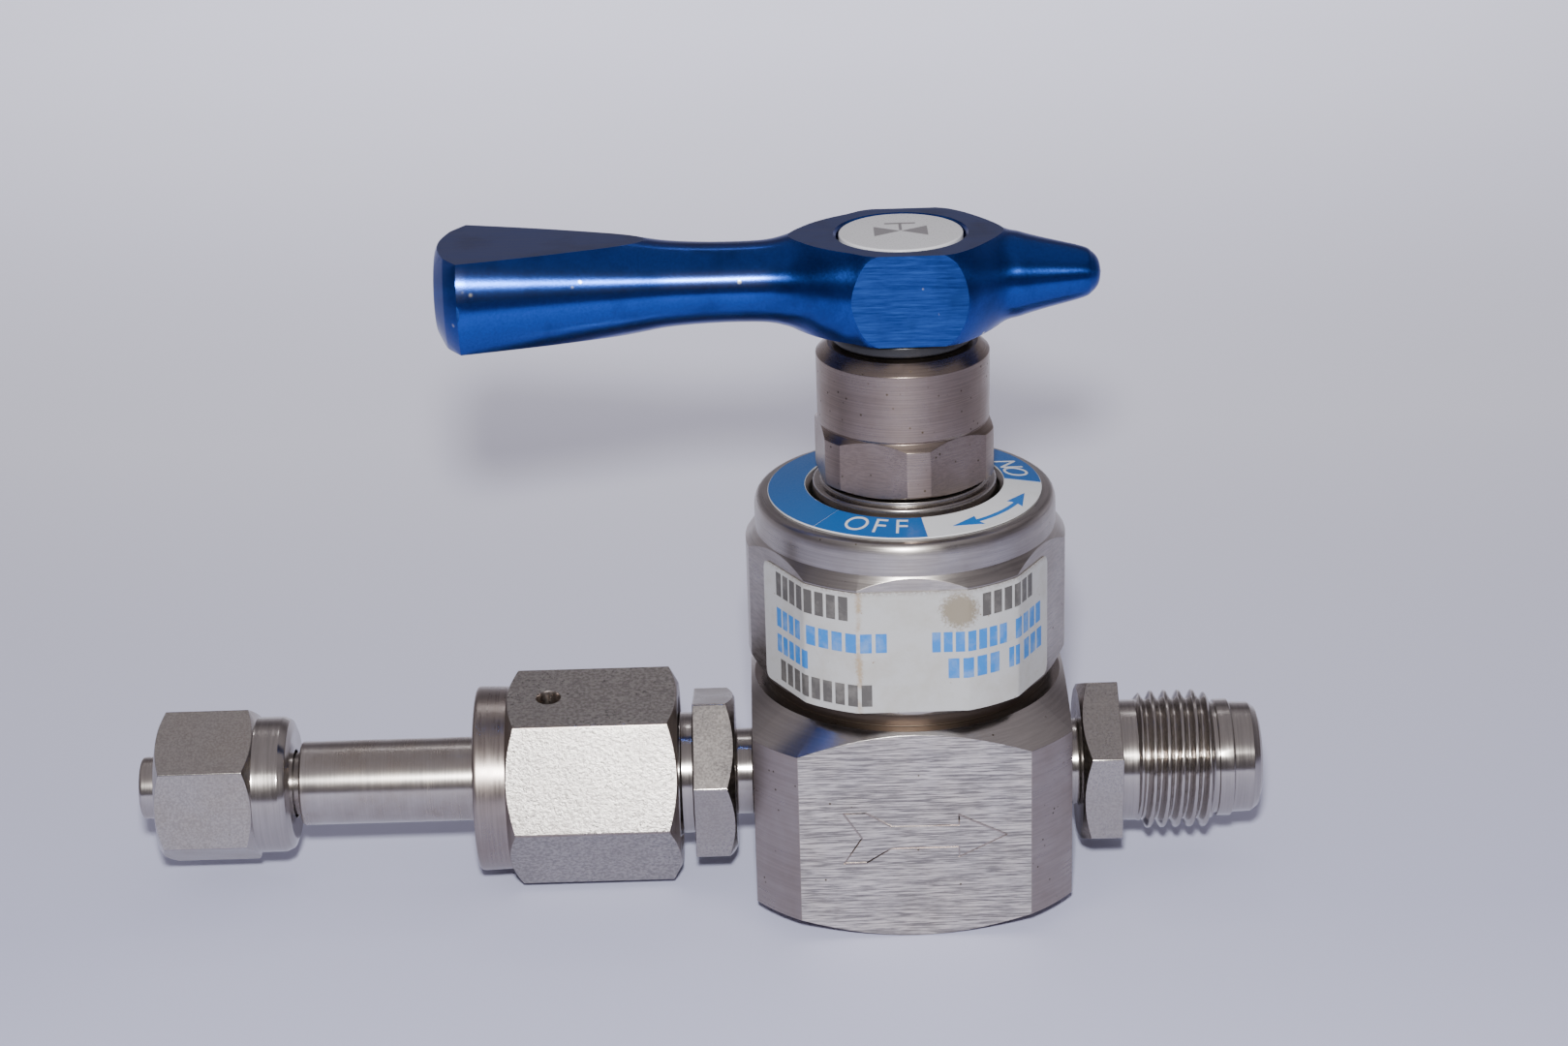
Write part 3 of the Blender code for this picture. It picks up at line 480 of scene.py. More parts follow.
def anodise(name, marks, colour, bright, roughness, streak, sparkle, wear, spin=None):
    """Blue anodised aluminium: tinted metal under a clear oxide coat, chipped in places."""
    graph = Graph(name)
    place = graph.millimetres()
    lines = graph.noise(marks(graph), 1.0, 4.0, 0.65)
    fine = graph.noise(place, 6.0, 2.0, 0.6)
    cloud = graph.noise(place, 0.18, 3.0, 0.6)
    colours = graph.mix(graph.remap(lines, 0.3, 0.7), colour, bright)
    smudge = graph.remap(cloud, 0.5, 0.74, 0.0, 0.6)
    colours = graph.mix(smudge, colours, tint(colour, 0.45))
    chips = specks(graph, place, 0.55, wear)
    colours = graph.mix(chips, colours, BARE_METAL)
    rough = graph.remap(lines, 0.25, 0.75, roughness - streak / 2, roughness + streak)
    graph.set(Base_Color=colours, Metallic=1.0, Roughness=rough)
    graph.set(Coat_Weight=0.15, Coat_Roughness=0.32)
    if spin:
        graph.turned_on(spin, 0.85)
    graph.bump((lines, 0.0006), (fine, sparkle))
    return graph.owner


def plastic(name, colour, roughness, dirt=0.15, grain=0.002, dirt_colour=GRIME, gloss=0.5):
    graph = Graph(name)
    place = graph.millimetres()
    fine = graph.noise(place, 5.0, 3.0, 0.6)
    cloud = graph.noise(place, 0.5, 4.0, 0.65)
    share = graph.math("MULTIPLY", graph.remap(cloud, 0.48, 0.75), dirt)
    graph.set(Base_Color=graph.mix(share, colour, dirt_colour))
    graph.set(Roughness=graph.remap(fine, 0.3, 0.7, roughness - 0.06, roughness + 0.08))
    graph.set(Specular_IOR_Level=gloss)
    graph.bump((fine, grain))
    return graph.owner


def label_film(name):
    """Printed white film with yellowed dirt, a crease and a worn patch."""
    graph = Graph(name)
    place = graph.millimetres()
    fine = graph.noise(place, 4.0, 3.0, 0.6)
    cloud = graph.noise(place, 0.32, 4.0, 0.65)
    dots = specks(graph, place, 1.3, 0.05)
    parts = graph.node("ShaderNodeSeparateXYZ", {"Vector": place}).outputs
    colours = graph.mix(graph.remap(cloud, 0.45, 0.78, 0.0, 0.45), FILM_WHITE, FILM_YELLOW)
    wobble = graph.math("MULTIPLY", graph.math("SUBTRACT", fine, 0.5), 2.2)
    crease = graph.math("ABSOLUTE", graph.math("ADD", parts["X"], -CREASE_X))
    crease = graph.math("ADD", crease, graph.math("MULTIPLY", wobble, 0.35))
    broken = graph.remap(cloud, 0.38, 0.55)
    crease = graph.math("MULTIPLY", graph.remap(crease, 0.1, 0.42, 0.75, 0.0), broken)
    colours = graph.mix(crease, colours, FILM_CREASE)
    spot = graph.node("ShaderNodeVectorMath", {0: place, 1: WORN_PLACE}, operation="DISTANCE")
    spot = graph.math("ADD", spot.outputs["Value"], wobble)
    worn = graph.remap(spot, 1.4, 2.2, 0.9, 0.0)
    colours = graph.mix(worn, colours, FILM_WORN)
    colours = graph.mix(dots, colours, FILM_SPECK)
    edge = graph.remap(parts["Z"], LABEL_HIGH.z - 0.5, LABEL_HIGH.z, 0.0, 0.55)
    edge = graph.math("MULTIPLY", edge, graph.remap(fine, 0.35, 0.6))
    colours = graph.mix(edge, colours, FILM_EDGE)
    graph.set(Base_Color=colours)
    graph.set(Roughness=graph.remap(cloud, 0.3, 0.7, 0.38, 0.55))
    graph.bump((cloud, 0.05), (fine, 0.004))
    return graph.owner


def pale_floor(name):
    """Pale lavender card with painted light: painted shade near the camera, painted brighter towards the
    back.
    """
    graph = Graph(name)
    place = graph.millimetres()
    cloud = graph.noise(place, 0.006, 3.0, 0.5)
    fine = graph.noise(place, 0.8, 3.0, 0.6)
    depth = graph.node("ShaderNodeSeparateXYZ", {"Vector": place}).outputs["Y"]
    # Painted light: the card darkens towards the camera and brightens towards the back.
    colours = graph.mix(graph.remap(depth, *FLOOR_PAINTED_LIGHT_DEPTHS), FLOOR_NEAR_PAINTED_SHADE, FLOOR_FAR_PAINTED_LIGHT)
    colours = graph.mix(graph.remap(cloud, 0.3, 0.8, 0.0, 0.12), colours, FLOOR_CLOUD)
    graph.set(Base_Color=colours, Roughness=0.75)
    graph.bump((fine, 0.01))
    return graph.owner


# After its name and marks, a steel takes colour, roughness, streak, grain, pits, stain, marks_depth,
# mark contrast (its bright marks are painted sparkle highlight), spin and stretch; an anodise takes
# colour, bright, roughness, streak, sparkle and wear.
# The brushed body flats take a strong mark contrast: painted bright sparkle highlight streaks.
BODY_FLAT = steel(
    "body_flat_steel", marks_along(0.35, 0.35, 9.0), tint(STEEL, 0.92), 0.3, 0.14, 0.006, 0.03, 0.15,
    0.012, 0.75, "Z", 0.3,
)
BODY_TURNED = steel("body_turned_steel", stem_rings(3.0), WARM_STEEL, 0.27, 0.06, 0.002, 0.1, 0.35)
BODY_CONE = steel(
    "body_cone_steel", stem_rings(3.0), tint(STEEL, 1.1), 0.15, 0.03, 0.0002, 0.04, 0.1, 0.0003
)
NUT_TURNED = steel(
    "nut_turned_steel", stem_rings(3.5), STEEL, 0.27, 0.08, 0.0016, 0.04, 0.3, 0.0015, 0.14, "Z", 0.4
)
HOUSING_STEEL = steel(
    "housing_steel", stem_rings(8.0), (0.29, 0.235, 0.2), 0.26, 0.06, 0.002, 0.24, 0.4, 0.002,
    0.14, "Z", 0.3,
)
BONNET_STEEL = steel("bonnet_steel", stem_rings(3.0), STEEL, 0.2, 0.06, 0.0006, 0.04, 0.3)
FITTING_TURNED = steel(
    "fitting_turned_steel", flow_rings(4.0), STEEL, 0.16, 0.06, 0.0003, 0.0, 0.2, 0.001, 0.08, "X", 0.5
)
FITTING_FLAT = steel(
    "fitting_flat_steel", even_grain(4.5), tint(STEEL, 0.92), 0.26, 0.08, 0.004, 0.0, 0.2, 0.006, 0.14
)
GLAND_TURNED = steel(
    "gland_turned_steel", flow_rings(7.0), tint(STEEL, 1.1), 0.2, 0.04, 0.0004, 0.0, 0.6, 0.0004,
    0.06, "X", 0.4,
)
# The cast coupling flats take a strong mark contrast: painted sparkle highlight on the grain.
COUPLING_FLAT = steel(
    "coupling_cast_flat", even_grain(2.8), tint(STEEL, 0.78), 0.28, 0.1, 0.01, 0.0, 0.1, 0.045, 0.35
)
COUPLING_TURNED = steel(
    "coupling_turned_steel", flow_rings(4.0), WARM_STEEL, 0.26, 0.08, 0.0014, 0.0, 0.3, 0.0015,
    0.1, "X", 0.4,
)
TUBE_NUT_FLAT = steel(
    "tube_nut_flat_steel", even_grain(4.5), tint(STEEL, 0.95), 0.32, 0.1, 0.0022, 0.03, 0.3, 0.006, 0.18
)
# Near-black steel on the body inside the gap under the bonnet nut: painted shade between nut and body.
GAP_PAINTED_SHADE = steel("gap_painted_shade_steel", stem_rings(4.0), (0.09, 0.07, 0.055), 0.38, 0.08, 0.001, 0.0, 0.3)
HARD_METAL = steel("ground_steel", stem_rings(4.0), DARK_STEEL, 0.25, 0.06)
ALLOY = steel("rolled_alloy", even_grain(2.0), STEEL, 0.2, 0.05)
BRONZE = steel("machined_bronze", stem_rings(4.0), (0.62, 0.42, 0.2), 0.32, 0.08)
BLUE_TURNED = anodise(
    "blue_anodise_turned", even_grain(4.0), (0.012, 0.054, 0.29), (0.019, 0.076, 0.385), 0.24, 0.03,
    0.0032, 0.01, "X",
)
BLUE_TOP = anodise(
    "blue_anodise_top", marks_along(0.15, 3.5, 3.5), (0.026, 0.052, 0.2), (0.05, 0.085, 0.27), 0.36, 0.1,
    0.0012, 0.0,
)
BLUE_SIDE = anodise(
    "blue_anodise_side", marks_along(0.35, 5.5, 5.5), (0.007, 0.038, 0.2), (0.024, 0.088, 0.34), 0.34, 0.14,
    0.002, 0.0,
)
BLACK = plastic("black_washer_plastic", (0.012, 0.012, 0.014), 0.32, 0.1, 0.002, (0.1, 0.08, 0.06))
WHITE = plastic("white_cap_plastic", (0.58, 0.58, 0.6), 0.3, 0.1, 0.001, (0.35, 0.33, 0.3))
GREY_INK = plastic("grey_ink", (0.2, 0.19, 0.2), 0.45)
SEAT = plastic("seat_plastic", (0.8, 0.79, 0.74), 0.4)
FILM = label_film("label_film")
LABEL_BLUE = plastic("label_blue_ink", (0.02, 0.17, 0.5), 0.45, 0.35, 0.002, (0.45, 0.47, 0.48))
LABEL_BLACK = plastic("label_black_ink", (0.075, 0.07, 0.065), 0.5, 0.3, 0.002, (0.35, 0.33, 0.3))
DIAL_WHITE = plastic("dial_white", (0.6, 0.61, 0.63), 0.34, 0.18, 0.001, (0.4, 0.34, 0.24))
DIAL_BLUE = plastic("dial_blue", (0.015, 0.09, 0.28), 0.42, 0.12, 0.001, (0.02, 0.08, 0.2), 0.3)
DIAL_ARROW_BLUE = plastic("dial_arrow_blue", (0.015, 0.13, 0.42), 0.32, 0.1, 0.001, (0.02, 0.06, 0.2))
DIAL_DARK_BLUE = plastic("dial_dark_blue", (0.008, 0.095, 0.32), 0.42, 0.12, 0.001, (0.01, 0.05, 0.2), 0.3)
FLOOR = pale_floor("pale_floor")


# ---- body


BODY_CORNER_R = 19.6
BODY_BASE_R = 15.7
BODY_TOP_R = 15.5
BODY_BASE_CHAMFER = 2.1
BODY_SHOULDER_Z = 20.1
BODY_TOP_Z = 22.4
BOSS_R = 14.3
BOWL_R = 11.4
LEDGE_Z = 29.2
CHAMBER_R = 8.0
CHAMBER_Z = 27.6
SEAT_R = 3.4
SEAT_Z = 25.4
BORE_R = 2.3
SOCKET_R = 3.3
SOCKET_X = 13.3
RISER_R = 1.6
RISER_PLACES = (0.0, 5.6)
RISER_TOP_Z = 28.6
MOUNT_OFFSET = 7.3
MOUNT_R = 2.05
GAP_R = 14.8
ARROW_DEPTH = 0.07
ARROW_WIDTH = 0.16
ARROW_Z = 11.1


def body_profile(limit, angle):
    """The body's outline at one angle: chamfer, flat or corner, cone, threaded boss and bowl."""
    low = chamfer_at(limit, (0.0, BODY_BASE_R), (BODY_BASE_CHAMFER, BODY_CORNER_R))
    high = chamfer_at(limit, (BODY_TOP_Z, BODY_TOP_R), (BODY_SHOULDER_Z, BODY_CORNER_R))
    boss_top = BODY_HIGH.z
    points = [
        (0.0, 0.0, 0), (0.0, BODY_BASE_R - 0.1, 0.05), (low, limit, 0.05), (high, limit, 0.05),
        (BODY_TOP_Z, BODY_TOP_R, 0.08), (BODY_TOP_Z, BOSS_R, 0.1),
        (boss_top, BOSS_R, 0.3), (boss_top, BOWL_R, 0.1), (LEDGE_Z, BOWL_R, 0),
        (LEDGE_Z, CHAMBER_R, 0.1), (CHAMBER_Z, CHAMBER_R, 0),
        (CHAMBER_Z, SEAT_R, 0.1), (SEAT_Z, SEAT_R, 0), (SEAT_Z, 0.0, 0),
    ]
    return fillet(points, closed=False)


def arrow_grooves():
    """Thin bars that engrave a hollow flow arrow with a notched tail on the front flat."""
    shaft, head, fin = 1.2, 2.3, 2.75
    upper = [(-7.1, fin), (-4.9, fin), (-2.4, shaft), (4.3, shaft), (4.3, head)]
    lower = [(x, -z) for x, z in reversed(upper)]
    outline = [*upper, (9.0, 0.0), *lower, (-5.3, 0.0)]
    middle = Vector((0.0, ARROW_Z))
    bars = []
    for start, end in zip(outline, [*outline[1:], outline[0]]):
        a, b = middle + Vector(start), middle + Vector(end)
        run = b - a
        reach = run.length / 2 + 0.05
        bar = box_cutter((-reach, -ARROW_DEPTH, -ARROW_WIDTH / 2), (reach, ARROW_DEPTH, ARROW_WIDTH / 2))
        centre = (a + b) / 2
        turn = Matrix.Rotation(-math.atan2(run.y, run.x), 4, "Y")
        place = Matrix.Translation(Vector((centre.x, -BODY_FACE, centre.y)) * MM)
        bar.data.transform(place @ turn)
        bars.append(bar)
    return bars


def make_body():
    section = flats_section(4, 2 * BODY_FACE, BODY_CORNER_R, -QUARTER, 0.18)
    body = swept("body_block", STEM, section, body_profile)
    socket = [(SOCKET_X, BORE_R), (SOCKET_X, SOCKET_R), (17.0, SOCKET_R), (17.0, 0.0)]
    sockets = [
        drill_cutter(axis, [(end, 0.0), (end, BORE_R), *socket])
        for axis, end in ((INLET, -1.6), (OUTLET, 4.0))
    ]
    riser = [(FLOW_Z, 0.0), (FLOW_Z, RISER_R), (RISER_TOP_Z, RISER_R), (RISER_TOP_Z, 0.0)]
    risers = [drill_cutter(Axis((x, 0.0, 0.0), Z, X, Y), riser) for x in RISER_PLACES]
    hole = [(-1.0, 0.0), (-1.0, 2.75), (0.0, 2.5), (0.45, MOUNT_R), (6.4, MOUNT_R), (7.4, 0.0)]
    holes = [
        drill_cutter(Axis((MOUNT_OFFSET * sign, MOUNT_OFFSET * sign, 0.0), Z, X, Y), hole)
        for sign in (-1, 1)
    ]
    for group in (sockets, risers, holes, arrow_grooves()):
        carve(body, group)
    low, high = BODY_SHOULDER_Z * MM, BODY_TOP_Z * MM
    for polygon in body.data.polygons:
        on_cone = 0.2 < polygon.normal.z < 0.95 and low < polygon.center.z < high
        # Body faces in the gap under the bonnet nut take the painted shade.
        in_painted_shade_gap = polygon.center.z > high - 0.0001 and polygon.center.xy.length < GAP_R * MM
        if on_cone:
            polygon.material_index = 2
        elif in_painted_shade_gap:
            polygon.material_index = 3
    finish_mesh(body, "valve", [BODY_TURNED, BODY_FLAT, BODY_CONE, GAP_PAINTED_SHADE])
    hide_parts("valve_body")


# ---- unions, gland and nuts


UNION_HEX = 0.625 * INCH
TUBE_R = 0.125 * INCH
PITCH = INCH / 18
THREAD_R = 7.05
THREAD_ROOT_R = 6.2
THREAD_START = 23.2
THREAD_END = 30.95
THREAD_ROWS = 130


def thread_radius(height, angle, hand):
    """Radius of a rounded V thread at a height and an angle, fading out at both ends."""
    phase = (height / PITCH - hand * angle / (2 * math.pi)) % 1.0
    ridge = 1.0 - abs(phase - 0.5) * 2
    ridge = min(max((ridge - 0.12) / 0.7, 0.0), 1.0)
    ridge = ridge * ridge * (3 - 2 * ridge) * 0.35 + ridge * 0.65
    fade = min((height - THREAD_START) / 0.9, (THREAD_END - height) / 0.5, 1.0)
    return THREAD_ROOT_R + (THREAD_R - THREAD_ROOT_R) * ridge * max(fade, 0.0)


def union_profile(hex_start, hex_end, hand):
    """A face-seal fitting: welded root, hexagon, thread of one hand, sealing nose and bore."""
    half = UNION_HEX / 2
    corner = half / math.cos(math.pi / 6)
    chamfer_low = (hex_start, half - 0.25)
    chamfer_high = (hex_start + 0.85, corner)
    length = THREAD_END - THREAD_START
    thread_heights = [THREAD_START + length * i / THREAD_ROWS for i in range(THREAD_ROWS + 1)]
    nose = [
        (31.0, 5.7, 0.05), (31.45, 5.7, 0.05), (31.5, 5.98, 0.08), (32.9, 6.0, 0.12),
        (33.02, 5.68, 0.05), (35.0, 5.62, 0.1), (35.75, 5.05, 0.25), (35.7, 4.75, 0.1),
        (UNION_HIGH.x, 4.2, 0.25), (UNION_HIGH.x, 3.5, 0.25), (35.6, 2.75, 0.1), (35.3, BORE_R, 0.1),
        (13.6, BORE_R, 0), (13.6, 3.0, 0), (BODY_FACE - 0.02, 3.0, 0), (BODY_FACE - 0.02, 4.25, 0),
        (BODY_FACE + 0.2, 4.4, 0.05),
    ]

    def profile(limit, angle):
        start = chamfer_at(limit, chamfer_low, chamfer_high)
        hexagon = [
            (hex_start, 4.4, 0.3), (hex_start, half - 0.3, 0.05), (start, limit, 0.05),
            (hex_end, limit, 0.12), (hex_end, THREAD_ROOT_R, 0.2),
        ]
        thread = [(h, thread_radius(h, angle, hand), 0) for h in thread_heights]
        return fillet(hexagon + thread + nose, closed=True)

    return profile


def make_union(name, node, axis, hex_span, elevation, hand):
    section = flats_section(6, UNION_HEX, None, elevation, 0.3)
    union = swept(name, axis, section, union_profile(*hex_span, hand))
    finish_mesh(union, "valve", [FITTING_TURNED, FITTING_FLAT])
    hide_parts(node)


def hex_nut(name, section, half, low, high, outer_before, outer_after, inner):
    """A hex nut on the inlet: its chamfered prism runs from low to high, between turned outlines."""
    corner = half / math.cos(math.pi / 6)
    depth = (corner - half) * math.tan(math.pi / 6) + 0.12

    def profile(limit, angle):
        first = chamfer_at(limit, (low, half - 0.12), (low + depth, corner))
        second = chamfer_at(limit, (high, half - 0.12), (high - depth, corner))
        prism = [(first, limit, 0.06), (second, limit, 0.06)]
        return fillet([*outer_before, *prism, *outer_after, *inner], closed=True)

    return swept(name, INLET, section, profile)


LEAK_HOLE_X = -36.6
LEAK_ANGLE = math.radians(83)


def make_coupling_nut():
    half = 0.375 * INCH
    start, end = -COUPLING_HIGH.x, -COUPLING_LOW.x
    collar = end - 3.3
    section = flats_section(6, 2 * half, None, math.radians(23), 0.3)
    outer_before = [(start, 7.95, 0.1), (start, half - 0.2, 0.05)]
    outer_after = [(collar, half - 0.15, 0.05), (end, half - 0.05, 0.45)]
    inner = [
        (end, 4.8, 0.15), (end - 0.2, 4.6, 0.05), (40.5, 4.6, 0), (40.5, 7.35, 0.1), (start + 0.6, 7.35, 0.1)
    ]
    nut = hex_nut("coupling_nut_shell", section, half, start, collar, outer_before, outer_after, inner)
    along = Vector((0.0, -math.cos(LEAK_ANGLE), math.sin(LEAK_ANGLE)))
    hole = Axis((LEAK_HOLE_X, 0.0, FLOW_Z), along, X, along.cross(X))
    carve(nut, [drill_cutter(hole, [(5.0, 0.0), (5.0, 1.18), (9.3, 1.18), (9.9, 1.5), (9.9, 0.0)])])
    finish_mesh(nut, "coupling", [COUPLING_TURNED, COUPLING_FLAT])
    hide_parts("coupling_nut")


def make_gland():
    start, end = -GLAND_HIGH.x, -GLAND_LOW.x
    points = [
        (start, BORE_R, 0.1), (start, 6.4, 0.3), (start + 0.5, 6.9, 0.1), (40.2, 6.9, 0.2),
        (40.2, 4.3, 0.2), (62.2, 4.3, 0.05), (62.4, 4.15, 0.03), (62.4, 3.2, 0.1),
        (63.9, TUBE_R, 0), (end, TUBE_R, 0.35), (end, 2.5, 0.05), (end - 0.2, BORE_R, 0.05),
    ]
    gland = turned("gland_tube", INLET, points, 160)
    finish_mesh(gland, "gland", [GLAND_TURNED])
    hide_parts("inlet_gland")


def make_tube_nut():
    half = 9 / 32 * INCH
    start, end = -TUBE_NUT_HIGH.x, -TUBE_NUT_LOW.x
    hex_start = start + 3.7
    collar_r = 6.95
    section = flats_section(6, 2 * half, None, math.radians(4.75), 0.25)
    outer_before = [
        (start, 3.5, 0.1), (start, 5.7, 0.15), (start + 0.35, 6.6, 0.3), (start + 1.1, collar_r, 0.4),
        (hex_start - 0.1, collar_r, 0.05), (hex_start, half - 0.18, 0.03),
    ]
    outer_after = [(end, half - 0.2, 0.05), (end, 5.9, 0.1)]
    inner = [(end - 0.5, 5.4, 0.1), (66.5, 5.4, 0), (66.5, 3.5, 0.05)]
    nut = hex_nut("tube_nut_shell", section, half, hex_start, end, outer_before, outer_after, inner)
    finish_mesh(nut, "end_nut", [FITTING_TURNED, TUBE_NUT_FLAT])
    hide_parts("tube_nut")


# ---- bonnet nut, dial and label


NUT_ACROSS_FLATS = 30.16
NUT_R = 16.0
NUT_COLLAR_R = 15.05
NUT_HEX_TOP_Z = 37.3
NUT_HOLE_R = 0.375 * INCH
NUT_CREST_R = NUT_HOLE_R + 0.4
NUT_FACE_Z = 41.9
DIAL_INNER_R = 9.95
DIAL_OUTER_R = 13.65
DIAL_SLOPE = (NUT_HIGH.z - NUT_FACE_Z) / (DIAL_OUTER_R - NUT_CREST_R)
DIAL_TILT = math.atan(DIAL_SLOPE)
DIAL_LAYER = 0.03
LETTER_WIDTH = 0.86


def bonnet_nut_profile(limit, angle):
    low, top = NUT_LOW.z, NUT_HIGH.z
    first = chamfer_at(limit, (low + 0.1, 14.98), (low + 1.8, NUT_R))
    second = chamfer_at(limit, (NUT_HEX_TOP_Z + 1.2, NUT_COLLAR_R - 0.02), (NUT_HEX_TOP_Z, NUT_R))
    points = [
        (low, 14.85, 0.05), (low + 0.1, 14.98, 0.03), (first, limit, 0.12), (second, limit, 0.12),
        (NUT_HEX_TOP_Z + 1.3, NUT_COLLAR_R - 0.04, 0.1), (NUT_FACE_Z - 0.15, NUT_COLLAR_R, 1.5),
        (NUT_FACE_Z, DIAL_OUTER_R, 0.1), (top, NUT_CREST_R, 0.08), (top - 0.4, NUT_HOLE_R, 0.05),
        (34.5, NUT_HOLE_R, 0), (34.5, 14.6, 0), (low, 14.6, 0.05),
    ]
    return fillet(points, closed=True, steps=6)


def make_bonnet_nut():
    section = flats_section(6, NUT_ACROSS_FLATS, NUT_R, -QUARTER, 0.25)
    nut = swept("bonnet_nut_shell", STEM, section, bonnet_nut_profile, flat_index=0)
    finish_mesh(nut, "valve", [NUT_TURNED])
    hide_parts("bonnet_nut")


def dial_point(radius, angle, lift):
    """A point above the bonnet nut's shallow conical top."""
    return STEM.point(NUT_FACE_Z + (DIAL_OUTER_R - radius) * DIAL_SLOPE + lift, radius, angle)


def ring_patch(name, angles, inner, outer, low, thickness, material, steps=64):
    """A piece of ring on the dial, between two angles in degrees. A full turn is closed."""
    start, end = (math.radians(a) for a in angles)
    full = abs(end - start) > 2 * math.pi - 0.001
    corners = ((low, inner), (low, outer), (low + thickness, outer), (low + thickness, inner))
    shape = bmesh.new()
    columns = []
    for step in range(steps if full else steps + 1):
        angle = start + (end - start) * step / steps
        columns.append([shape.verts.new(dial_point(r, angle, z)) for z, r in corners])
    pairs = list(zip(columns, columns[1:]))
    if full:
        pairs.append((columns[-1], columns[0]))
    else:
        shape.faces.new(columns[0])
        shape.faces.new(columns[-1])
    for here, there in pairs:
        for i in range(4):
            j = (i + 1) % 4
            shape.faces.new((here[i], here[j], there[j], there[i]))
    return finish_mesh(object_from(name, shape), "valve", [material])


def dial_letter(name, letter, degrees, radius, low, size):
    """A capital printed on the dial, with its foot away from the stem."""
    font = bpy.data.curves.new(name, "FONT")
    font.body = letter
    font.size = size * MM
    font.align_x = font.align_y = "CENTER"
    font.extrude = DIAL_LAYER / 2 * MM
    font.offset = -0.03 * MM
    draft = new_object(name, font)
    mesh = evaluated_mesh(draft)
    bpy.data.objects.remove(draft, do_unlink=True)
    angle = math.radians(degrees)
    spot = dial_point(radius, angle, low + DIAL_LAYER / 2)
    turn = Matrix.Rotation(angle + QUARTER, 4, "Z") @ Matrix.Rotation(DIAL_TILT, 4, "X")
    mesh.transform(Matrix.Translation(spot) @ turn @ Matrix.Scale(LETTER_WIDTH, 4, X))
    finish_mesh(new_object(name, mesh), "valve", [DIAL_WHITE])


def dial_arrow(low):
    """A curved double-headed arrow, from OFF round to ON."""
    middle, half, barb = 12.2, 0.22, 0.85
    start, end = math.radians(-70), math.radians(-16)
    head = 2.8 / middle
    steps = 24
    turns = [start + head + (end - start - 2 * head) * step / steps for step in range(steps + 1)]
    inside = [(middle - half, angle) for angle in turns]
    outside = [(middle + half, angle) for angle in reversed(turns)]
    swept_back = head * 1.08
    left = [(middle + barb, start + swept_back), (middle, start), (middle - barb, start + swept_back)]
    right = [(middle - barb, end - swept_back), (middle, end), (middle + barb, end - swept_back)]
    outline = [*left, *inside, *right, *outside]
    shape = bmesh.new()
    rims = [
        [shape.verts.new(dial_point(r, a, low + lift)) for r, a in outline]
        for lift in (0.0, DIAL_LAYER)
    ]
    for rim in rims:
        shape.faces.new(rim)
    for i in range(len(outline)):
        j = (i + 1) % len(outline)
        shape.faces.new((rims[0][i], rims[0][j], rims[1][j], rims[1][i]))
    bmesh.ops.recalc_face_normals(shape, faces=shape.faces)
    bmesh.ops.triangulate(shape, faces=[f for f in shape.faces if len(f.verts) > 4])
    finish_mesh(object_from("dial_arrow", shape), "valve", [DIAL_ARROW_BLUE])


def make_dial():
    """The printed ring: a white plate, blue panels, an arrow and the words OFF and ON."""
    base, thickness, apart = 0.04, 0.14, 0.005
    plate = ring_patch(
        "dial_plate", (0, 360), DIAL_INNER_R - 0.05, DIAL_OUTER_R, base, thickness, DIAL_WHITE, 192
    )
    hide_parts("dial_ring")
    ink = base + thickness + apart
    layer = (DIAL_INNER_R, DIAL_OUTER_R - 0.05, ink, DIAL_LAYER)
    ring_patch("dial_blue_sector", (50, 227), *layer, DIAL_BLUE, 96)
    ring_patch("dial_off_panel", (227.3, 277), *layer, DIAL_DARK_BLUE)
    ring_patch("dial_on_panel", (0, 49.7), *layer, DIAL_DARK_BLUE)
    dial_arrow(ink)
    lettering = ink + DIAL_LAYER + apart
    letters = [("O", -116, 11.7), ("F", -104.5, 11.7), ("F", -94, 11.7), ("O", 11, 11.6), ("N", 22, 11.6)]
    for number, (letter, degrees, radius) in enumerate(letters, 1):
        dial_letter(f"dial_letter_{number}", letter, degrees, radius, lettering, 3.7)


def nut_point(angle, offset, height):
    """A point just off the bonnet nut's side. The angle runs from its front, towards +X."""
    from_flat = (angle + math.pi / 6) % (math.pi / 3) - math.pi / 6
    radius = min(NUT_R, NUT_ACROSS_FLATS / 2 / math.cos(from_flat)) + offset
    return Vector((radius * math.sin(angle), -radius * math.cos(angle), height)) * MM


def skin(shape, here, there):
    """Joins two rows of points with faces."""
    for corners in zip(here, there, there[1:], here[1:]):
        shape.faces.new(corners)


def wrap_patch(shape, angles, heights, offset, thickness, steps, corner):
    """Adds one thin patch, wrapped round the bonnet nut's front, to a shape."""
    start, end = (math.radians(a) for a in angles)
    low, high = heights
    inner, outer = [], []
    rows = 4
    for step in range(steps + 1):
        angle = start + (end - start) * step / steps
        reach = min(abs(angle - start), abs(end - angle)) * NUT_R
        pull = 0.0
        if reach < corner:
            pull = corner - math.sqrt(corner**2 - (corner - reach) ** 2)
        levels = [low + pull + (high - low - 2 * pull) * row / rows for row in range(rows + 1)]
        inner.append([shape.verts.new(nut_point(angle, offset, z)) for z in levels])
        outer.append([shape.verts.new(nut_point(angle, offset + thickness, z)) for z in levels])
    for layer in (inner, outer):
        for here, there in zip(layer, layer[1:]):
            skin(shape, here, there)
    for edge in (0, -1):
        skin(shape, [levels[edge] for levels in inner], [levels[edge] for levels in outer])
        skin(shape, inner[edge], outer[edge])


def wrapped_patches(name, spans, heights, offset, thickness, material, steps, corner=0.0):
    """Thin pieces wrapped round the bonnet nut's front, one for each span of angles."""
    shape = bmesh.new()
    for span in spans:
        wrap_patch(shape, span, heights, offset, thickness, steps, corner)
    return finish_mesh(object_from(name, shape), "valve", [material])


FILM_THICKNESS = 0.1
INK_THICKNESS = 0.02
WORD_SHARE = 0.74


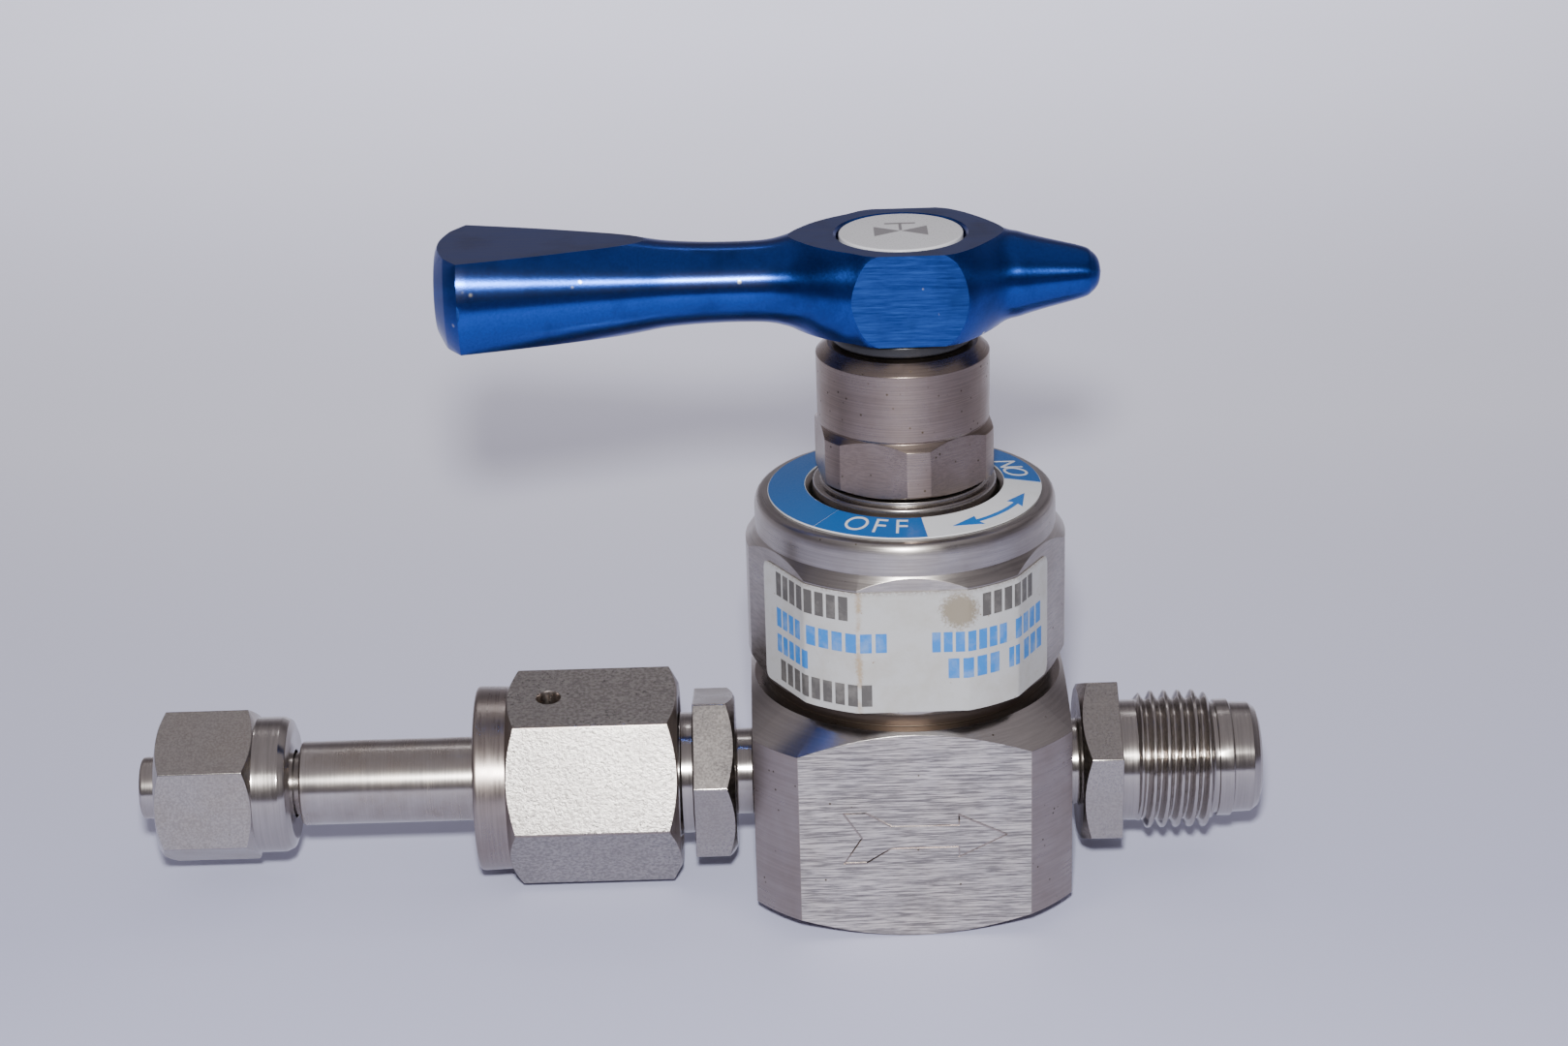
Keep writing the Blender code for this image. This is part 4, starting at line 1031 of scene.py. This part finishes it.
def make_label():
    """The film, with rows of small printed blocks in place of its lettering."""
    low, high = LABEL_LOW.z, LABEL_HIGH.z
    film = wrapped_patches(
        "label_film_sheet", [(-68, 64)], (low, high), 0.03, FILM_THICKNESS, FILM, 176, 0.8
    )
    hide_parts("serial_label")
    # Each row: (start angle, end angle, how many blocks) spans, drop below the top, height, ink.
    rows = [
        ([(-59, -21.5, 8)], 3.0, 2.5, LABEL_BLACK),
        ([(25, 52, 6)], 3.0, 2.4, LABEL_BLACK),
        ([(-59, -42, 4), (-39.5, -8, 6)], 6.3, 2.0, LABEL_BLUE),
        ([(7, 36, 7), (39, 59, 4)], 6.4, 2.1, LABEL_BLUE),
        ([(-59, -38, 5)], 9.0, 1.9, LABEL_BLUE),
        ([(12.7, 33, 4), (36, 42, 2), (44.5, 60, 3)], 9.2, 2.1, LABEL_BLUE),
        ([(-57, -13.5, 9)], 12.0, 2.3, LABEL_BLACK),
    ]
    for number, (words, drop, height, material) in enumerate(rows, 1):
        marks = []
        for start, end, count in words:
            pitch = (end - start) / count
            marks += [(start + pitch * i, start + pitch * (i + WORD_SHARE)) for i in range(count)]
        span = (high - drop, high - drop + height)
        wrapped_patches(f"label_row_{number:02d}", marks, span, 0.135, INK_THICKNESS, material, 4)


# ---- housing, bonnet and washer


def housing_profile(limit, angle):
    low, top = HOUSING_LOW.z, HOUSING_HIGH.z
    shoulder = 49.35
    first = chamfer_at(limit, (low, 8.35), (low + 0.45, 9.1))
    second = chamfer_at(limit, (shoulder + 0.25, 8.4), (shoulder - 0.35, 9.1))
    points = [
        (low, 6.6, 0.1), (low, 8.3, 0.05), (first, limit, 0.08), (second, limit, 0.08),
        (shoulder + 0.3, 8.4, 0.1), (shoulder + 0.5, 8.5, 0.1), (top - 1.05, 8.55, 0.12),
        (top, 7.4, 0.08), (top, 4.95, 0.05), (51.9, 4.9, 0), (51.9, 6.6, 0),
    ]
    return fillet(points, closed=True)


def make_housing():
    section = flats_section(6, 16.8, 9.1, math.radians(-53), 0.25)
    housing = swept("stem_housing_shell", STEM, section, housing_profile, flat_index=0)
    finish_mesh(housing, "valve", [HOUSING_STEEL])
    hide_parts("stem_housing")


def make_bonnet():
    top = BONNET_HIGH.z
    lip = HOUSING_LOW.z - 0.3
    points = [
        (top, 3.6, 0.1), (top, 6.3, 0.2), (lip, 6.3, 0), (lip, 8.35, 0.1),
        (lip - 0.35, 8.35, 0.1), (lip - 0.4, 9.15, 0.35), (lip - 1.9, 9.2, 0.3), (lip - 2.2, 8.6, 0.1),
        (34.2, 8.6, 0), (34.2, 13.9, 0.2), (31.8, 13.9, 0.2), (31.8, 11.1, 0), (30.2, 11.1, 0.1),
        (30.2, 8.3, 0.05), (31.6, 4.3, 0.1), (38.7, 4.3, 0), (38.7, 3.6, 0.05),
    ]
    bonnet = turned("bonnet_neck", STEM, points, 128)
    finish_mesh(bonnet, "valve", [BONNET_STEEL])
    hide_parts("bonnet")


def make_washer():
    low, high, radius = WASHER_LOW.z, WASHER_HIGH.z, WASHER_HIGH.x
    points = [(low, 3.7, 0.05), (low, radius, 0.3), (high, radius, 0.3), (high, 3.7, 0.05)]
    washer = turned("black_handle_washer", STEM, points, 128)
    finish_mesh(washer, "valve", [BLACK])
    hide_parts("handle_washer")


# ---- handle


HUB_HALF_WIDTH = HANDLE_HIGH.y
POCKET_R = 6.3
GRIP = [(-42.6, 7.95), (-36.2, 6.65), (-30.7, 5.55), (-25.7, 4.7), (-22.5, 4.2), (-18.0, 3.95), (-13.6, 4.0)]
HUB = [
    (-11.4, 4.4), (-10.0, 5.0), (-8.3, 6.15), (-6.7, 7.1), (-5.0, 7.95), (-3.2, 8.95), (0.3, 9.55),
    (3.9, 9.1), (6.05, 7.95), (9.45, 4.85), (11.6, 4.1),
]
NOSE = [(13.7, 3.5), (17.5, 2.55), (18.5, 2.0), (19.15, 1.2), (19.4, 0.0)]


def handle_outline():
    """(height, radius) points from the grip's end to the nose."""
    end = HANDLE_LOW.x
    corners = [(end, 0.0, 0), (end + 0.05, 4.0, 1.5), (end + 1.2, 6.3, 1.5), (*GRIP[0], 0)]
    dome = fillet(corners, closed=False, steps=6)
    return [(p.x, max(p.y, 0.0)) for p in [*dome[:-1], *spline(GRIP + HUB + NOSE, 6)]]


def make_handle():
    """The lever: a turned bar, flat above, below and beside the hub, with edges broken."""
    outline = handle_outline()
    handle = swept("lever_handle", LEVER, round_section(224), lambda limit, angle: outline)
    bottom, top = HANDLE_LOW.z, HANDLE_HIGH.z
    flats = box_cutter((-60, -HUB_HALF_WIDTH, bottom), (40, HUB_HALF_WIDTH, top))
    carve(handle, [flats], "INTERSECT")
    for polygon in handle.data.polygons:
        polygon.material_index = 0
        off_side = abs(abs(polygon.center.y) - HUB_HALF_WIDTH * MM)
        if abs(polygon.normal.z) > 0.999:
            polygon.material_index = 1
        elif abs(polygon.normal.y) > 0.999 and off_side < 1e-5:
            polygon.material_index = 2
    bevel = handle.modifiers.new("Broken edges", "BEVEL")
    bevel.width = 0.12 * MM
    bevel.segments = 2
    bevel.limit_method = "ANGLE"
    bevel.angle_limit = math.radians(14)
    bevel.use_clamp_overlap = True
    bevel.material = 0
    carve(handle, [])
    steps = [
        (top + 1, 0.0), (top + 1, POCKET_R + 0.25), (top - 0.02, POCKET_R + 0.25), (top - 0.22, POCKET_R),
        (67.1, POCKET_R), (67.1, 3.4), (64.6, 3.4), (64.6, 1.6), (62.0, 1.6), (62.0, 0.0),
    ]
    pocket = drill_cutter(STEM, steps, 128)
    socket = box_cutter((-2.6, -2.6, bottom - 1), (2.6, 2.6, 62.9))
    carve(handle, [pocket, socket])
    finish_mesh(handle, "lever", [BLUE_TURNED, BLUE_TOP, BLUE_SIDE])
    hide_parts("handle")


def make_cap():
    low, top, radius = CAP_LOW.z, CAP_HIGH.z, CAP_HIGH.x
    points = [(low, 0.0, 0), (low, radius, 0.05), (top, radius, 0.2), (top + 0.05, 0.0, 0)]
    cap = turned("white_cap", STEM, points, 160)
    finish_mesh(cap, "lever", [WHITE])
    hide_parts("handle_cap")
    make_cap_symbol(top + 0.055)


def make_cap_symbol(low):
    """A plain drawing symbol for a valve: two triangles with a lever on top."""
    shapes = {
        "cap_symbol_left": [(-2.6, -1.5), (-0.1, 0.0), (-2.6, 1.5)],
        "cap_symbol_right": [(2.6, 1.5), (0.1, 0.0), (2.6, -1.5)],
        "cap_symbol_stem": [(-0.14, 0.15), (0.14, 0.15), (0.14, 2.3), (-0.14, 2.3)],
        "cap_symbol_lever": [(-1.5, 2.3), (1.5, 2.3), (1.5, 2.65), (-1.5, 2.65)],
    }
    for name, outline in shapes.items():
        shape = bmesh.new()
        face = shape.faces.new([shape.verts.new(Vector((x, y, low)) * MM) for x, y in outline])
        lifted = bmesh.ops.extrude_face_region(shape, geom=[face])
        for item in lifted["geom"]:
            if isinstance(item, bmesh.types.BMVert):
                item.co.z += INK_THICKNESS * MM
        finish_mesh(object_from(name, shape), "lever", [GREY_INK])


# ---- pieces inside


def make_diaphragm():
    """The sprung sheet: a thin dome with a flat rim. Its rim is clamped, and in the valve its dome bows down
    with the button; here it stays in one shape.
    """
    low, high = box_mm("diaphragm")
    thickness, dome_r, steps = 0.4, 8.3, 18
    rise = high.z - low.z - thickness
    radii = [dome_r * i / steps for i in range(steps + 1)] + [high.x]
    heights = [low.z + rise * (1 - min(r / dome_r, 1.0) ** 2) ** 2 for r in radii]
    over = [(z + thickness, r, 0) for z, r in zip(heights, radii)]
    under = [(z, r, 0) for z, r in zip(heights, radii)]
    sheet = turned("diaphragm_sheet", STEM, over + under[::-1], 96)
    bend = ("valve", "button", (0, 0, (low.z + thickness) * MM), (0, 0, (high.z - thickness) * MM))
    finish_mesh(sheet, bend, [ALLOY])
    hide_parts("diaphragm")


def finish_hidden_pieces():
    """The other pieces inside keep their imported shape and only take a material."""
    looks = [
        (ALLOY, ["face_gasket"]),
        (FITTING_TURNED, ["front_ferrule", "back_ferrule"]),
        (SEAT, ["seat_insert"]),
        (BRONZE, ["actuator_button", "stem_bushing"]),
        (HARD_METAL, ["stem", "thrust_washer", "stop_pin", "handle_screw"]),
    ]
    for material, nodes in looks:
        for node in nodes:
            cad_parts[node].data.materials.clear()
            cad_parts[node].data.materials.append(material)


# ---- floor, light and camera


SKY_DARK = (0.145, 0.13, 0.15)
SKY_BRIGHT = (0.51, 0.49, 0.56)
SKY_TOP = (0.4, 0.375, 0.41)
WASH_COLOUR = (0.95, 0.95, 1.0)


def make_sky():
    """A dim room: pale towards the back of the table and overhead, dark behind the camera."""
    world = bpy.data.worlds.new("studio")
    sky = Graph("studio", world)
    direction = sky.node("ShaderNodeTexCoord").outputs["Generated"]
    parts = sky.node("ShaderNodeSeparateXYZ", {"Vector": direction}).outputs
    back = sky.remap(parts["Y"], -0.1, 0.7, blend="SMOOTHSTEP")
    low = sky.remap(parts["Z"], 0.55, 0.0, blend="SMOOTHSTEP")
    overhead = sky.remap(parts["Z"], 0.45, 0.85, blend="SMOOTHSTEP")
    colours = sky.mix(sky.math("MULTIPLY", back, low), SKY_DARK, SKY_BRIGHT)
    sky.set(Color=sky.mix(overhead, colours, SKY_TOP))
    bpy.context.scene.world = world


def spot_light(name, place, target, angle, radius, power, colour=(1.0, 1.0, 1.0)):
    """A spot light; angle is its cone in degrees, and radius softens its shadows."""
    light = bpy.data.lights.new(name, "SPOT")
    light.color = colour
    light.energy = power
    light.spot_size = math.radians(angle)
    light.spot_blend = 1.0
    light.shadow_soft_size = radius * MM
    obj = new_object(name, light)
    obj.location = Vector(place) * MM
    aim = Vector(target) * MM - obj.location
    obj.rotation_euler = aim.to_track_quat("-Z", "Y").to_euler()


def make_stage():
    bpy.ops.mesh.primitive_plane_add(size=6.0)
    floor = bpy.context.object
    floor.name = "studio_floor"
    floor.data.materials.append(FLOOR)
    make_sky()
    spot_light("key", (-15, -309, 209), (-14, 130, 30), angle=116, radius=12, power=8.4)
    spot_light("table_wash", (-14, 510, 640), (-14, 520, 0), 80, 120, power=22.0, colour=WASH_COLOUR)


CAMERA_PLACE = (-12.1, -308.4, 163.1)
CAMERA_PITCH = math.radians(22.0)
CAMERA_ROLL = math.radians(1.66)
CAMERA_LENS = 76.3


def make_camera():
    data = bpy.data.cameras.new("camera")
    data.sensor_width = 36.0
    data.lens = CAMERA_LENS
    data.clip_start = 0.01
    camera = new_object("camera", data)
    tilt = Matrix.Rotation(QUARTER - CAMERA_PITCH, 4, "X")
    roll = Matrix.Rotation(-CAMERA_ROLL, 4, "Z")
    camera.matrix_world = Matrix.Translation(Vector(CAMERA_PLACE) * MM) @ tilt @ roll
    bpy.context.scene.camera = camera


make_camera()
make_stage()
make_body()
make_union("inlet_union_fitting", "inlet_union", INLET, (17.75, 22.0), math.radians(44.5), -1)
make_union("outlet_union_fitting", "outlet_union", OUTLET, (17.4, 21.4), math.radians(56), 1)
make_coupling_nut()
make_gland()
make_tube_nut()
make_bonnet_nut()
make_dial()
make_label()
make_housing()
make_bonnet()
make_washer()
make_handle()
make_cap()
make_diaphragm()
finish_hidden_pieces()
